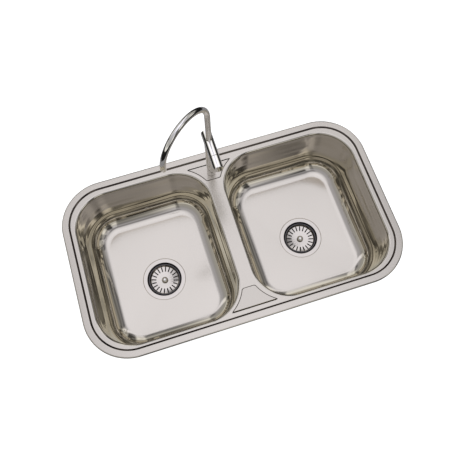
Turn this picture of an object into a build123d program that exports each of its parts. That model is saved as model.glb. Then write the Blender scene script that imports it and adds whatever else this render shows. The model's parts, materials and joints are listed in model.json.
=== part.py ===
from build123d import *
from math import cos, radians, sin, tan
import os

# Double bowl kitchen sink: a pressed steel deck, two bowls, two basket wastes and a swivel tap.
# Millimetres. The origin is the centre of the rim on the worktop plane, +X to the right,
# +Y to the tap at the back, +Z up. Everything below z = 0 hangs inside the worktop cut-out.

os.makedirs("parts", exist_ok=True)

# ---------------------------------------------------------------- driving dimensions
SHEET = 1.0  # stainless steel gauge of the deck and the bowls

RIM_CORNER_R = 110.0
RIM_HEIGHT = 5.0  # top of the border flange above the worktop
LIP_GAP = 0.5  # the turned-down lip stops this far above the worktop
LIP_R = 3.5
FLANGE_BAND = 17.0  # flat border between the lip and the step
STEP_HEIGHT = 3.0  # the deck lies this far below the border
STEP_ANGLE = 45.0  # of the step between them, from level
STEP_R = 1.6

OPENING_LENGTH = 348.0  # a bowl mouth along X, where the deck starts to roll over
OPENING_WIDTH = 393.0
OPENING_CORNER_R = 94.0
DIVIDER = 30.0  # flat bridge between the two mouths
END_BAND = 27.0  # from a mouth to the edge of the rim, at the left and right ends
BACK_BAND = 28.5
FRONT_BAND = 23.5
ROLL_R = 6.0  # rolled edge from the deck down into a bowl
COLLAR_DEPTH = 12.0  # from the deck down to the weld between deck and bowl

BOWL_DEPTH = 160.0  # from the deck to the floor at the waste
BOWL_DRAFT = 3.0  # degrees
FLOOR_R = 40.0  # wall to floor
FLOOR_FALL = 1.0  # degrees, towards the waste
WASTE_OUT = 2.0  # the waste sits this far outward of the bowl centre
WASTE_FORWARD = 18.5  # and this far in front of it

PANEL_RISE = 1.2  # embossed panels in the deck, between the bowl corners
PANEL_OFFSET = 9.0  # from a mouth corner to the concave side of a panel
PANEL_DEPTH = 46.0
PANEL_STEP_GAP = 12.0  # from the step to the long edge of a panel
PANEL_CORNER_R = 4.0

SEAL_WIDTH = 8.0
SEAL_INSET = 5.0

PAD_THICKNESS = 3.0
PAD_LENGTH = 190.0
PAD_WIDTH = 230.0
PAD_CORNER_R = 30.0
PAD_HOLE_R = 66.0

# waste fitting, 3 1/2 inch
FLANGE_R = 55.5
FLANGE_T = 1.5
MOUTH_R = 43.5
MOUTH_ROLL = 2.5
CUP_WALL = 1.2
CUP_NARROWING = 1.0
CUP_STRAIGHT = 29.0
CUP_LEDGE = 42.0  # from the flange down to the ledge that the stopper closes
LEDGE_R = 26.5
TAIL_BORE_R = 21.0
TAIL_THREAD_R = 23.9  # 1 1/2 inch pipe thread
TAIL_THREAD_LENGTH = 20.0
WASTE_HOLE_GAP = 0.8  # bowl hole to waste cup, radial
RECESS_DEPTH = 3.0
RECESS_GAP = 1.0
FLANGE_SEAL_T = 0.8
GASKET_T = 3.0
GASKET_INSET = 1.0  # the gasket is this much smaller than the flange
FRICTION_T = 1.0
NUT_INSET = 2.0
NUT_HEIGHT = 8.0
NUT_LUGS = 8
NUT_LUG_OUT = 3.5
THREAD_GAP = 0.2
SEAT_GAP = 0.3  # between a lift-out or turning piece and its seat
TAIL_WASHER_T = 2.5
TAIL_TUBE_R = 20.0  # 40 mm waste pipe
TAIL_WALL = 1.4
TAIL_FLANGE_T = 2.0
TAIL_NECK_IN = 0.3  # the pipe's neck inside its coupling nut
TAIL_LENGTH = 66.0
TAIL_NUT_WALL = 4.0
TAIL_NUT_LIP = 3.0
TAIL_NUT_HEIGHT = 18.0
TAIL_LUG_OUT = 1.5

# basket stopper
BASKET_TOP_DROP = 3.0  # from the flange down to the basket rim
BASKET_DEPTH = 10.0
BASKET_FLOOR_R = 22.0
BASKET_SLOPE_R = 36.5  # the slotted slope ends in a steeper collar
BASKET_SLOPE_RISE = 5.4
BASKET_COLLAR_R = 39.6
BASKET_RIM_R = 42.0
BASKET_T = 0.8
BASKET_SLOTS = 20
SLOT_WIDTH = 3.0
SLOT_INNER_R = 22.8
SLOT_OUTER_R = 35.6
STOPPER_T = 3.0
STOPPER_R = 25.0
POST_R = 3.0
POST_NECK_R = 5.5  # between the stopper disc and the basket
POST_FOOT_R = 9.0
POST_FOOT_T = 1.5
KNOB_DOME_R = 8.25
KNOB_DOME_HEIGHT = 6.0
KNOB_RISE = 10.0  # from the basket floor to the crown of its knob

# tap
TAP_FORWARD = 3.5  # the column stands this far in front of the rear panel's middle
COLUMN_R = 11.0
BARREL_R = 12.0
BARREL_AXIS_HEIGHT = 158.0  # above the deck
BARREL_BACK = 25.0
BARREL_FRONT = 73.0
KNOB_LENGTH = 31.0
KNOB_GAP = 0.4
TAP_EDGE_R = 1.0
TUBE_R = 6.35  # 1/2 inch tube
TUBE_WALL = 1.0
SPOUT_TURN = 216.5  # degrees from +X, where the outlet hangs over the left bowl
SPOUT_BEND_R = 73.0
SPOUT_BEND_HEIGHT = 264.0  # above the deck
SPOUT_DROP = 6.0
SOCKET_DEPTH = 26.0
SWIVEL_FIT = 0.05
O_RING_WIRE = 1.8
O_RING_SPACING = 8.0
SET_SCREW_R = 2.0
SET_SCREW_TIP_R = 1.2
SET_GROOVE_DEPTH = 0.5
SET_GROOVE_WIDTH = 3.2
SET_SCREW_GAP = 0.2
SET_SCREW_SUNK = 1.0
STRAIGHTENER_LENGTH = 5.0
STRAIGHTENER_SUNK = 1.0
STRAIGHTENER_HOLES = 6  # round a middle one
STRAIGHTENER_HOLE_R = 0.8
STRAIGHTENER_CIRCLE_R = 2.65
SHANK_R = 8.33  # 3/8 inch pipe thread
SHANK_BORE_R = 5.5
SHANK_BELOW = 55.0
SHANK_GROOVE = 1.0  # relief between the fixing thread and the hose thread
SHANK_ENGAGED = 15.0
SHANK_HOLE_GAP = 0.6
BASE_SEAL_T = 0.8
TAP_WASHER_GAP = 1.5  # from the washers to the wall of the pocket under the panel
TAP_RUBBER_T = 2.5
TAP_METAL_T = 1.5
TAP_NUT_FLATS = 27.0
TAP_NUT_HEIGHT = 8.0
CARTRIDGE_R = 9.2
CARTRIDGE_DEPTH = 24.0
CARTRIDGE_NECK_R = 8.2
CARTRIDGE_NECK = 13.0
STEM_R = 4.0
STEM_FIT = 0.05
STEM_STOP = 4.0  # solid end of the cartridge behind the stem
KNOB_BORE_GAP = 1.2
KNOB_HUB = 9.0  # solid front of the knob
KNOB_FACE_T = 3.0  # closed face in front of the stem's socket
GRUB_R = 2.0
GRUB_BACK = 6.0  # from the knob's face to its grub screw
GRUB_SUNK = 1.5

# worktop clamps
CLAMP_SPREAD = 55.0  # each side of the bowl centre
CLAMP_WIDTH = 22.0
CLAMP_PLATE = 1.5
BRACKET_TOP = 14.0  # below the deck
BRACKET_HEIGHT = 8.0
EAR_REACH = 12.0
CLAW_DROP = 15.0  # from the ear down to the claw
CLAW_REACH = 20.5
CLAW_TOE = 6.0
CLAMP_SCREW_R = 2.5
CLAMP_SCREW_OUT = 6.5  # screw axis from the bowl wall
CLAMP_SCREW_GAP = 0.4
CLAMP_HEAD_R = 4.5
CLAMP_HEAD_T = 3.5
CLAMP_SCREW_PROUD = 4.5  # above the bracket's ear

LEVEL_MARGIN = 0.01  # for picking faces and edges by their level
CUT_PAST = 1.0  # a cut runs this far past the surface that it opens

# ---------------------------------------------------------------- derived levels and places
RIM_LENGTH = 2 * (OPENING_LENGTH + END_BAND) + DIVIDER
RIM_WIDTH = OPENING_WIDTH + BACK_BAND + FRONT_BAND
OPENING_Y = (FRONT_BAND - BACK_BAND) / 2
STEP_RUN = STEP_HEIGHT / tan(radians(STEP_ANGLE))
DECK_TOP = RIM_HEIGHT - STEP_HEIGHT
COLLAR_BOTTOM = DECK_TOP - COLLAR_DEPTH
FLOOR_Z = DECK_TOP - BOWL_DEPTH
BOWL_X = (DIVIDER + OPENING_LENGTH) / 2
WASTE_X = BOWL_X + WASTE_OUT
WASTE_Y = OPENING_Y - WASTE_FORWARD
WALL_LENGTH = OPENING_LENGTH - 2 * ROLL_R
WALL_WIDTH = OPENING_WIDTH - 2 * ROLL_R
WALL_CORNER_R = OPENING_CORNER_R - ROLL_R
PANEL_TOP = DECK_TOP + PANEL_RISE
PANEL_UNDERSIDE = PANEL_TOP - SHEET
PANEL_LONG_Y = RIM_WIDTH / 2 - FLANGE_BAND - STEP_RUN - PANEL_STEP_GAP
TAP_Y = PANEL_LONG_Y - PANEL_DEPTH / 2 - TAP_FORWARD
TAP_WASHER_R = PANEL_DEPTH / 2 - TAP_FORWARD - SHEET - TAP_WASHER_GAP

FLANGE_BOTTOM = FLOOR_Z - RECESS_DEPTH + FLANGE_SEAL_T
FLANGE_TOP = FLANGE_BOTTOM + FLANGE_T
CUP_OUTER_R = MOUTH_R + CUP_WALL
BOWL_HOLE_R = CUP_OUTER_R + WASTE_HOLE_GAP
RECESS_R = FLANGE_R + RECESS_GAP
LEDGE_Z = FLANGE_TOP - CUP_LEDGE
TAIL_Z = LEDGE_Z - CUP_WALL - TAIL_THREAD_LENGTH
GASKET_TOP = FLOOR_Z - RECESS_DEPTH - SHEET
NUT_TOP = GASKET_TOP - GASKET_T - FRICTION_T
TAIL_FLANGE_TOP = TAIL_Z - TAIL_WASHER_T
TAIL_FLANGE_BOTTOM = TAIL_FLANGE_TOP - TAIL_FLANGE_T
TAIL_NUT_BOTTOM = TAIL_FLANGE_BOTTOM - TAIL_NUT_LIP
STOPPER_Z = LEDGE_Z + SEAT_GAP
STOPPER_TOP = STOPPER_Z + STOPPER_T
BASKET_RIM_Z = FLANGE_TOP - BASKET_TOP_DROP
BASKET_Z = BASKET_RIM_Z - BASKET_DEPTH

BARREL_Z = DECK_TOP + BARREL_AXIS_HEIGHT
COLUMN_Z = PANEL_TOP + BASE_SEAL_T
BARREL_BACK_Y = TAP_Y + BARREL_BACK
BARREL_FRONT_Y = TAP_Y - BARREL_FRONT
KNOB_BACK_Y = BARREL_FRONT_Y + KNOB_LENGTH
BODY_FRONT_Y = KNOB_BACK_Y + KNOB_GAP
SOCKET_R = TUBE_R + SWIVEL_FIT
SOCKET_Z = BARREL_Z + BARREL_R - SOCKET_DEPTH
TUBE_END_Z = SOCKET_Z + SEAT_GAP
BEND_Z = DECK_TOP + SPOUT_BEND_HEIGHT
TAP_NUT_TOP = PANEL_UNDERSIDE - TAP_RUBBER_T - TAP_METAL_T
SHANK_GROOVE_Z = TAP_NUT_TOP - 1.5 * TAP_NUT_HEIGHT


def export(builder, label):
    """Label a finished piece and write its own file."""
    builder.part.label = label
    export_step(builder.part, f"parts/{label}.step")


def deck_form(inset):
    """The solid below a surface that runs the given distance under the deck's upper face."""
    with BuildPart() as form:
        with BuildSketch(Plane.XY.offset(COLLAR_BOTTOM)):
            RectangleRounded(
                RIM_LENGTH - 2 * inset, RIM_WIDTH - 2 * inset, RIM_CORNER_R - inset
            )
        extrude(amount=RIM_HEIGHT - inset - COLLAR_BOTTOM)
        fillet(form.faces().sort_by(Axis.Z)[-1].edges(), LIP_R - inset)

        # the step runs down to the deck
        step_inset = FLANGE_BAND + STEP_RUN - inset * tan(radians(STEP_ANGLE / 2))
        with BuildSketch(Plane.XY.offset(DECK_TOP - inset)):
            RectangleRounded(
                RIM_LENGTH - 2 * step_inset,
                RIM_WIDTH - 2 * step_inset,
                RIM_CORNER_R - step_inset,
            )
        extrude(amount=STEP_HEIGHT, taper=STEP_ANGLE - 90, mode=Mode.SUBTRACT)
        deck_level = (DECK_TOP - inset - LEVEL_MARGIN, DECK_TOP - inset + LEVEL_MARGIN)
        floor = form.faces().filter_by(Plane.XY).filter_by_position(Axis.Z, *deck_level)
        fillet(floor.edges(), STEP_R + inset)
        border = form.faces().filter_by(Plane.XY).sort_by(Axis.Z)[-1]
        fillet(border.inner_wires()[0].edges(), STEP_R - inset)

        # raised panels at the back and at the front of the bridge
        with BuildSketch(Plane.XY.offset(DECK_TOP - inset)):
            add(panel_outline(1, inset))
            add(panel_outline(-1, inset))
        extrude(amount=PANEL_RISE)

        with BuildSketch(Plane.XY.offset(DECK_TOP - inset)):
            with Locations((-BOWL_X, OPENING_Y), (BOWL_X, OPENING_Y)):
                RectangleRounded(
                    WALL_LENGTH + 2 * inset, WALL_WIDTH + 2 * inset, WALL_CORNER_R + inset
                )
        extrude(amount=COLLAR_BOTTOM - DECK_TOP + inset, mode=Mode.SUBTRACT)
        levels = form.faces().filter_by(Plane.XY).filter_by_position(Axis.Z, *deck_level)
        deck_face = levels.sort_by(SortBy.AREA)[-1]
        for wire in deck_face.inner_wires():
            if wire.bounding_box().size.X > OPENING_LENGTH / 2:
                fillet(wire.edges(), ROLL_R - inset)
    return form.part


def panel_outline(side, inset):
    """A trapezium whose two slanted sides follow the bowl corners, long edge to the step."""
    corner_x = BOWL_X - OPENING_LENGTH / 2 + OPENING_CORNER_R
    corner_y = side * OPENING_Y + OPENING_WIDTH / 2 - OPENING_CORNER_R
    with BuildSketch() as outline:
        with Locations((0, side * (PANEL_LONG_Y - PANEL_DEPTH / 2))):
            Rectangle(2 * corner_x, PANEL_DEPTH)
        with Locations((-corner_x, side * corner_y), (corner_x, side * corner_y)):
            Circle(OPENING_CORNER_R + PANEL_OFFSET, mode=Mode.SUBTRACT)
        fillet(outline.vertices(), PANEL_CORNER_R)
        if inset:
            offset(amount=-inset)
    return outline.sketch


def bowl_form(side, inset):
    """The solid inside a surface that runs the given distance outside a bowl's inner face."""
    bowl_x = side * BOWL_X
    waste_x = side * WASTE_X
    bottom_z = FLOOR_Z - inset
    fall_reach = WALL_WIDTH
    rise = (fall_reach - RECESS_R) * tan(radians(FLOOR_FALL))
    with BuildPart() as form:
        with BuildSketch(Plane((bowl_x, OPENING_Y, COLLAR_BOTTOM), z_dir=(0, 0, -1))):
            RectangleRounded(
                WALL_LENGTH + 2 * inset, WALL_WIDTH + 2 * inset, WALL_CORNER_R + inset
            )
        extrude(amount=COLLAR_BOTTOM - bottom_z, taper=BOWL_DRAFT)

        # a shallow cone, the fall of the floor towards the waste
        with BuildPart(mode=Mode.PRIVATE) as under_floor:
            with BuildSketch(Plane((waste_x, WASTE_Y, 0), x_dir=(1, 0, 0), z_dir=(0, -1, 0))):
                with BuildLine():
                    Polyline(
                        (0, bottom_z),
                        (RECESS_R, bottom_z),
                        (fall_reach, bottom_z + rise),
                        (fall_reach, bottom_z - rise),
                        (0, bottom_z - rise),
                        close=True,
                    )
                make_face()
            revolve(axis=Axis((waste_x, WASTE_Y, 0), (0, 0, 1)))
        add(under_floor.part, mode=Mode.SUBTRACT)
        low = form.edges().filter_by_position(Axis.Z, bottom_z + LEVEL_MARGIN, bottom_z + rise)
        fillet(low, FLOOR_R + inset)

        with BuildSketch(Plane((waste_x, WASTE_Y, bottom_z + RECESS_DEPTH))):
            Circle(RECESS_R + inset)
        extrude(amount=-2 * RECESS_DEPTH)
    return form.part


def ring(inner_r, outer_r, top_z, height):
    """A flat ring, hung downwards from its top level."""
    with BuildPart() as piece:
        with BuildSketch(Plane.XY.offset(top_z)):
            Circle(outer_r)
            Circle(inner_r, mode=Mode.SUBTRACT)
        extrude(amount=-height)
    return piece.part


def turned(*outline):
    """Turn a closed outline of radius and height pairs round the Z axis."""
    with BuildPart() as piece:
        with BuildSketch(Plane.XZ):
            with BuildLine():
                Polyline(*outline, close=True)
            make_face()
        revolve(axis=Axis.Z)
    return piece.part


# ---------------------------------------------------------------- deck
with BuildPart() as deck:
    add(deck_form(0))
    add(deck_form(SHEET), mode=Mode.SUBTRACT)
    # the outer lip ends just above the worktop
    with BuildSketch(Plane.XY.offset(LIP_GAP)):
        RectangleRounded(RIM_LENGTH + 2 * SHEET, RIM_WIDTH + 2 * SHEET, RIM_CORNER_R + SHEET)
        RectangleRounded(
            RIM_LENGTH - 2 * SEAL_INSET,
            RIM_WIDTH - 2 * SEAL_INSET,
            RIM_CORNER_R - SEAL_INSET,
            mode=Mode.SUBTRACT,
        )
    extrude(amount=COLLAR_BOTTOM - LIP_GAP, mode=Mode.SUBTRACT)
    with BuildSketch(Plane((0, TAP_Y, PANEL_TOP))):
        Circle(SHANK_R + SHANK_HOLE_GAP)
    extrude(amount=-2 * SHEET, mode=Mode.SUBTRACT)
export(deck, "deck")

with BuildPart() as rim_seal:
    with BuildSketch():
        RectangleRounded(
            RIM_LENGTH - 2 * SEAL_INSET, RIM_WIDTH - 2 * SEAL_INSET, RIM_CORNER_R - SEAL_INSET
        )
        RectangleRounded(
            RIM_LENGTH - 2 * (SEAL_INSET + SEAL_WIDTH),
            RIM_WIDTH - 2 * (SEAL_INSET + SEAL_WIDTH),
            RIM_CORNER_R - SEAL_INSET - SEAL_WIDTH,
            mode=Mode.SUBTRACT,
        )
    extrude(amount=RIM_HEIGHT - SHEET)
export(rim_seal, "rim_seal")

# ---------------------------------------------------------------- bowls and their sound pads
for hand, side in (("left", -1), ("right", 1)):
    waste = Plane((side * WASTE_X, WASTE_Y, FLOOR_Z))
    with BuildPart() as bowl:
        add(bowl_form(side, SHEET))
        add(bowl_form(side, 0), mode=Mode.SUBTRACT)
        with BuildSketch(waste):
            Circle(BOWL_HOLE_R)
        extrude(amount=-2 * RECESS_DEPTH, mode=Mode.SUBTRACT)
    export(bowl, f"{hand}_bowl")

    with BuildPart() as sound_pad:
        add(bowl_form(side, SHEET + PAD_THICKNESS))
        add(bowl_form(side, SHEET), mode=Mode.SUBTRACT)
        with BuildSketch(waste.offset(RECESS_DEPTH)):
            with Locations((-side * WASTE_OUT, WASTE_FORWARD)):
                RectangleRounded(PAD_LENGTH, PAD_WIDTH, PAD_CORNER_R)
            Circle(PAD_HOLE_R, mode=Mode.SUBTRACT)
        extrude(amount=-3 * RECESS_DEPTH, mode=Mode.INTERSECT)
    export(sound_pad, f"{hand}_sound_pad")


# ---------------------------------------------------------------- waste fittings
def strainer_body():
    """The flanged cup: a rolled mouth, a threaded wall, a stopper ledge and a tail thread."""
    mouth_z = FLANGE_TOP - MOUTH_ROLL
    straight_z = FLANGE_TOP - CUP_STRAIGHT
    with BuildPart() as cup:
        with BuildSketch(Plane.XZ):
            with BuildLine():
                Line((FLANGE_R, FLANGE_TOP), (MOUTH_R + MOUTH_ROLL, FLANGE_TOP))
                RadiusArc((MOUTH_R + MOUTH_ROLL, FLANGE_TOP), (MOUTH_R, mouth_z), -MOUTH_ROLL)
                Polyline(
                    (MOUTH_R, mouth_z),
                    (MOUTH_R - CUP_NARROWING, straight_z),
                    (LEDGE_R, LEDGE_Z),
                    (TAIL_BORE_R, LEDGE_Z),
                    (TAIL_BORE_R, TAIL_Z),
                    (TAIL_THREAD_R, TAIL_Z),
                    (TAIL_THREAD_R, LEDGE_Z - CUP_WALL),
                    (LEDGE_R + CUP_WALL / 2, LEDGE_Z - CUP_WALL),
                    (CUP_OUTER_R, straight_z - CUP_WALL / 2),
                    (CUP_OUTER_R, FLANGE_BOTTOM),
                    (FLANGE_R, FLANGE_BOTTOM),
                    (FLANGE_R, FLANGE_TOP),
                )
            make_face()
        revolve(axis=Axis.Z)
    return cup.part


def lug_nut(bore_r, outer_r, top_z, height, lugs, lug_out):
    """A ring nut with rounded lugs for a hand or a spanner."""
    lug_r = outer_r * sin(radians(90 / lugs))
    with BuildPart() as nut:
        with BuildSketch(Plane.XY.offset(top_z)):
            Circle(outer_r)
            with PolarLocations(outer_r + lug_out - lug_r, lugs):
                Circle(lug_r)
            Circle(bore_r, mode=Mode.SUBTRACT)
        extrude(amount=-height)
    return nut.part


def tail_nut():
    """The coupling nut: a threaded skirt over the cup's tail and a lip under the pipe's flange."""
    skirt_r = TAIL_THREAD_R + THREAD_GAP
    outer_r = skirt_r + TAIL_NUT_WALL
    top_z = TAIL_NUT_BOTTOM + TAIL_NUT_HEIGHT
    with BuildPart() as nut:
        add(lug_nut(skirt_r, outer_r, top_z, TAIL_NUT_HEIGHT, NUT_LUGS, TAIL_LUG_OUT))
        add(ring(TAIL_TUBE_R + THREAD_GAP, outer_r, TAIL_FLANGE_BOTTOM, TAIL_NUT_LIP))
    return nut.part


def tailpiece():
    """A flanged pipe that carries the water on to the trap."""
    bore_r = TAIL_TUBE_R - TAIL_WALL
    return turned(
        (bore_r, TAIL_FLANGE_TOP),
        (TAIL_THREAD_R - THREAD_GAP, TAIL_FLANGE_TOP),
        (TAIL_THREAD_R - THREAD_GAP, TAIL_FLANGE_BOTTOM),
        (TAIL_TUBE_R - TAIL_NECK_IN, TAIL_FLANGE_BOTTOM),
        (TAIL_TUBE_R - TAIL_NECK_IN, TAIL_NUT_BOTTOM - TAIL_NUT_LIP / 2),
        (TAIL_TUBE_R, TAIL_NUT_BOTTOM - TAIL_NUT_LIP / 2),
        (TAIL_TUBE_R, TAIL_FLANGE_TOP - TAIL_LENGTH),
        (bore_r, TAIL_FLANGE_TOP - TAIL_LENGTH),
    )


def basket():
    """A thin dished basket: floor, slope with radial slots, steep collar and flat rim."""
    slope_z = BASKET_Z + BASKET_SLOPE_RISE
    with BuildPart() as dish:
        with BuildSketch(Plane.XZ):
            with BuildLine():
                Polyline(
                    (0, BASKET_Z),
                    (BASKET_FLOOR_R, BASKET_Z),
                    (BASKET_SLOPE_R, slope_z),
                    (BASKET_COLLAR_R, BASKET_RIM_Z - BASKET_T),
                    (BASKET_RIM_R, BASKET_RIM_Z - BASKET_T),
                    (BASKET_RIM_R, BASKET_RIM_Z),
                    (BASKET_COLLAR_R - BASKET_T, BASKET_RIM_Z),
                    (BASKET_SLOPE_R - BASKET_T, slope_z + BASKET_T / 2),
                    (BASKET_FLOOR_R - BASKET_T / 2, BASKET_Z + BASKET_T),
                    (0, BASKET_Z + BASKET_T),
                    close=True,
                )
            make_face()
        revolve(axis=Axis.Z)
        with BuildSketch(Plane.XY.offset(BASKET_Z)):
            with PolarLocations((SLOT_INNER_R + SLOT_OUTER_R) / 2, BASKET_SLOTS):
                SlotOverall(SLOT_OUTER_R - SLOT_INNER_R, SLOT_WIDTH)
        extrude(amount=BASKET_DEPTH, mode=Mode.SUBTRACT)
        with BuildSketch(Plane.XY.offset(BASKET_Z)):
            Circle(POST_R)
        extrude(amount=BASKET_T, mode=Mode.SUBTRACT)
    return dish.part


def basket_post():
    """The turned knob that lifts the basket, with a foot that holds the stopper disc."""
    crown_z = BASKET_Z + KNOB_RISE
    dome_z = crown_z - KNOB_DOME_HEIGHT
    dome_r = (KNOB_DOME_R**2 + KNOB_DOME_HEIGHT**2) / (2 * KNOB_DOME_HEIGHT)
    with BuildPart() as post:
        with BuildSketch(Plane.XZ):
            with BuildLine():
                Polyline(
                    (0, crown_z),
                    (0, STOPPER_Z - POST_FOOT_T),
                    (POST_FOOT_R, STOPPER_Z - POST_FOOT_T),
                    (POST_FOOT_R, STOPPER_Z),
                    (POST_R, STOPPER_Z),
                    (POST_R, STOPPER_TOP),
                    (POST_NECK_R, STOPPER_TOP),
                    (POST_NECK_R, BASKET_Z),
                    (POST_R, BASKET_Z),
                    (POST_R, dome_z),
                    (KNOB_DOME_R, dome_z),
                )
                RadiusArc((KNOB_DOME_R, dome_z), (0, crown_z), -dome_r)
            make_face()
        revolve(axis=Axis.Z)
    return post.part


WASTE_PIECES = {
    "flange_seal": ring(BOWL_HOLE_R, FLANGE_R, FLANGE_BOTTOM, FLANGE_SEAL_T),
    "strainer_body": strainer_body(),
    "lower_gasket": ring(BOWL_HOLE_R, FLANGE_R - GASKET_INSET, GASKET_TOP, GASKET_T),
    "friction_ring": ring(
        BOWL_HOLE_R, FLANGE_R - GASKET_INSET, GASKET_TOP - GASKET_T, FRICTION_T
    ),
    "locknut": lug_nut(
        CUP_OUTER_R + THREAD_GAP, FLANGE_R - NUT_INSET, NUT_TOP, NUT_HEIGHT, NUT_LUGS, NUT_LUG_OUT
    ),
    "tail_washer": ring(TAIL_BORE_R, TAIL_THREAD_R - THREAD_GAP, TAIL_Z, TAIL_WASHER_T),
    "tailpiece": tailpiece(),
    "tail_nut": tail_nut(),
    "basket": basket(),
    "basket_stopper": ring(POST_R, STOPPER_R, STOPPER_TOP, STOPPER_T),
    "basket_post": basket_post(),
}
for hand, side in (("left", -1), ("right", 1)):
    for name, piece in WASTE_PIECES.items():
        with BuildPart() as placed:
            with Locations((side * WASTE_X, WASTE_Y, 0)):
                add(piece)
        export(placed, f"{hand}_{name}")

# ---------------------------------------------------------------- worktop clamps
# side view of one clamp on the back wall, with u outward from the wall at the bracket's top
BRACKET_Z = DECK_TOP - BRACKET_TOP
EAR_Z = BRACKET_Z - BRACKET_HEIGHT
CLAW_Z = EAR_Z - CLAW_DROP


def wall_y(level):
    """Outer face of a bowl's back wall at a level, from the bowl's centre."""
    return WALL_WIDTH / 2 + SHEET + (level - COLLAR_BOTTOM) * tan(radians(BOWL_DRAFT))


def clamp_plate(*outline):
    """A plate of one clamp: its side view, pulled out over the clamp's width."""
    with BuildPart() as plate:
        with BuildSketch(Plane.YZ.offset(-CLAMP_WIDTH / 2)):
            with BuildLine():
                Polyline(*outline, close=True)
            make_face()
        extrude(amount=CLAMP_WIDTH)
        with BuildSketch(Plane((0, SCREW_Y, 0))):
            Circle(CLAMP_SCREW_R + CLAMP_SCREW_GAP)
        extrude(amount=-BOWL_DEPTH, mode=Mode.SUBTRACT)
    return plate.part


SCREW_Y = wall_y(BRACKET_Z) + CLAMP_SCREW_OUT
EAR_Y = wall_y(BRACKET_Z) + EAR_REACH
CLAW_BACK_Y = wall_y(BRACKET_Z) + CLAMP_PLATE
CLAMP_PIECES = {
    "clamp_brackets": clamp_plate(
        (wall_y(BRACKET_Z), BRACKET_Z),
        (wall_y(EAR_Z), EAR_Z),
        (EAR_Y, EAR_Z),
        (EAR_Y, EAR_Z + CLAMP_PLATE),
        (wall_y(EAR_Z) + CLAMP_PLATE, EAR_Z + CLAMP_PLATE),
        (wall_y(BRACKET_Z) + CLAMP_PLATE, BRACKET_Z),
    ),
    "clamp_claws": clamp_plate(
        (CLAW_BACK_Y, CLAW_Z),
        (CLAW_BACK_Y + CLAW_REACH, CLAW_Z),
        (CLAW_BACK_Y + CLAW_REACH, CLAW_Z + CLAW_TOE),
        (CLAW_BACK_Y + CLAW_REACH - CLAMP_PLATE, CLAW_Z + CLAW_TOE),
        (CLAW_BACK_Y + CLAW_REACH - CLAMP_PLATE, CLAW_Z + CLAMP_PLATE),
        (CLAW_BACK_Y, CLAW_Z + CLAMP_PLATE),
    ),
}
with BuildPart() as clamp_screw:
    with BuildSketch(Plane((0, SCREW_Y, CLAW_Z))):
        RegularPolygon(CLAMP_HEAD_R, 6)
    extrude(amount=-CLAMP_HEAD_T)
    with BuildSketch(Plane((0, SCREW_Y, CLAW_Z))):
        Circle(CLAMP_SCREW_R)
    extrude(amount=EAR_Z - CLAW_Z + CLAMP_SCREW_PROUD)
CLAMP_PIECES["clamp_screws"] = clamp_screw.part

for name, piece in CLAMP_PIECES.items():
    with BuildPart() as group:
        for x in (-BOWL_X, BOWL_X):
            for offset_x in (-CLAMP_SPREAD, CLAMP_SPREAD):
                with Locations(Location((x + offset_x, OPENING_Y, 0))):
                    add(piece)
                with Locations(Location((x + offset_x, OPENING_Y, 0), (0, 0, 180))):
                    add(piece)
    export(group, name)

# ---------------------------------------------------------------- tap
tap_foot = Plane((0, TAP_Y, 0))
barrel_back = Plane((0, BARREL_BACK_Y, BARREL_Z), x_dir=(1, 0, 0), z_dir=(0, -1, 0))
barrel_front = Plane((0, BODY_FRONT_Y, BARREL_Z), x_dir=(1, 0, 0), z_dir=(0, 1, 0))
knob_face = Plane((0, BARREL_FRONT_Y, BARREL_Z), x_dir=(1, 0, 0), z_dir=(0, 1, 0))
set_screw_plane = Plane((0, TAP_Y, SOCKET_Z + O_RING_SPACING / 2), z_dir=(0, 1, 0))

with BuildPart() as tap_body:
    with BuildSketch(tap_foot.offset(COLUMN_Z)):
        Circle(COLUMN_R)
    extrude(amount=BARREL_Z - COLUMN_Z)
    with BuildSketch(barrel_back):
        Circle(BARREL_R)
    extrude(amount=BARREL_BACK_Y - BODY_FRONT_Y)
    ends = tap_body.edges().filter_by(GeomType.CIRCLE).filter_by(
        lambda edge: abs(edge.radius - BARREL_R) < LEVEL_MARGIN
    )
    chamfer(ends, TAP_EDGE_R / 2)
    # blind socket for the spout
    with BuildSketch(tap_foot.offset(BARREL_Z + BARREL_R)):
        Circle(SOCKET_R)
    extrude(amount=-SOCKET_DEPTH, mode=Mode.SUBTRACT)
    # grooves for two O-rings
    for groove in (1, 2):
        with BuildSketch(tap_foot.offset(SOCKET_Z + groove * O_RING_SPACING)):
            Circle(SOCKET_R + O_RING_WIRE)
        extrude(amount=O_RING_WIRE, mode=Mode.SUBTRACT)
    # seat of the valve cartridge, and the way from it to the spout
    with BuildSketch(barrel_front):
        Circle(CARTRIDGE_R)
    extrude(amount=CARTRIDGE_DEPTH, mode=Mode.SUBTRACT)
    # threaded socket for the shank, and the inlet above it
    with BuildSketch(tap_foot.offset(COLUMN_Z)):
        Circle(SHANK_R)
    extrude(amount=SHANK_ENGAGED, mode=Mode.SUBTRACT)
    with BuildSketch(tap_foot.offset(COLUMN_Z)):
        Circle(SHANK_BORE_R)
    extrude(amount=SOCKET_Z - COLUMN_Z - SHANK_ENGAGED, mode=Mode.SUBTRACT)
    # the set screw that keeps the spout in its socket comes in from behind
    with BuildSketch(set_screw_plane):
        Circle(SET_SCREW_R)
    extrude(amount=COLUMN_R + CUT_PAST, mode=Mode.SUBTRACT)
export(tap_body, "tap_body")

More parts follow.
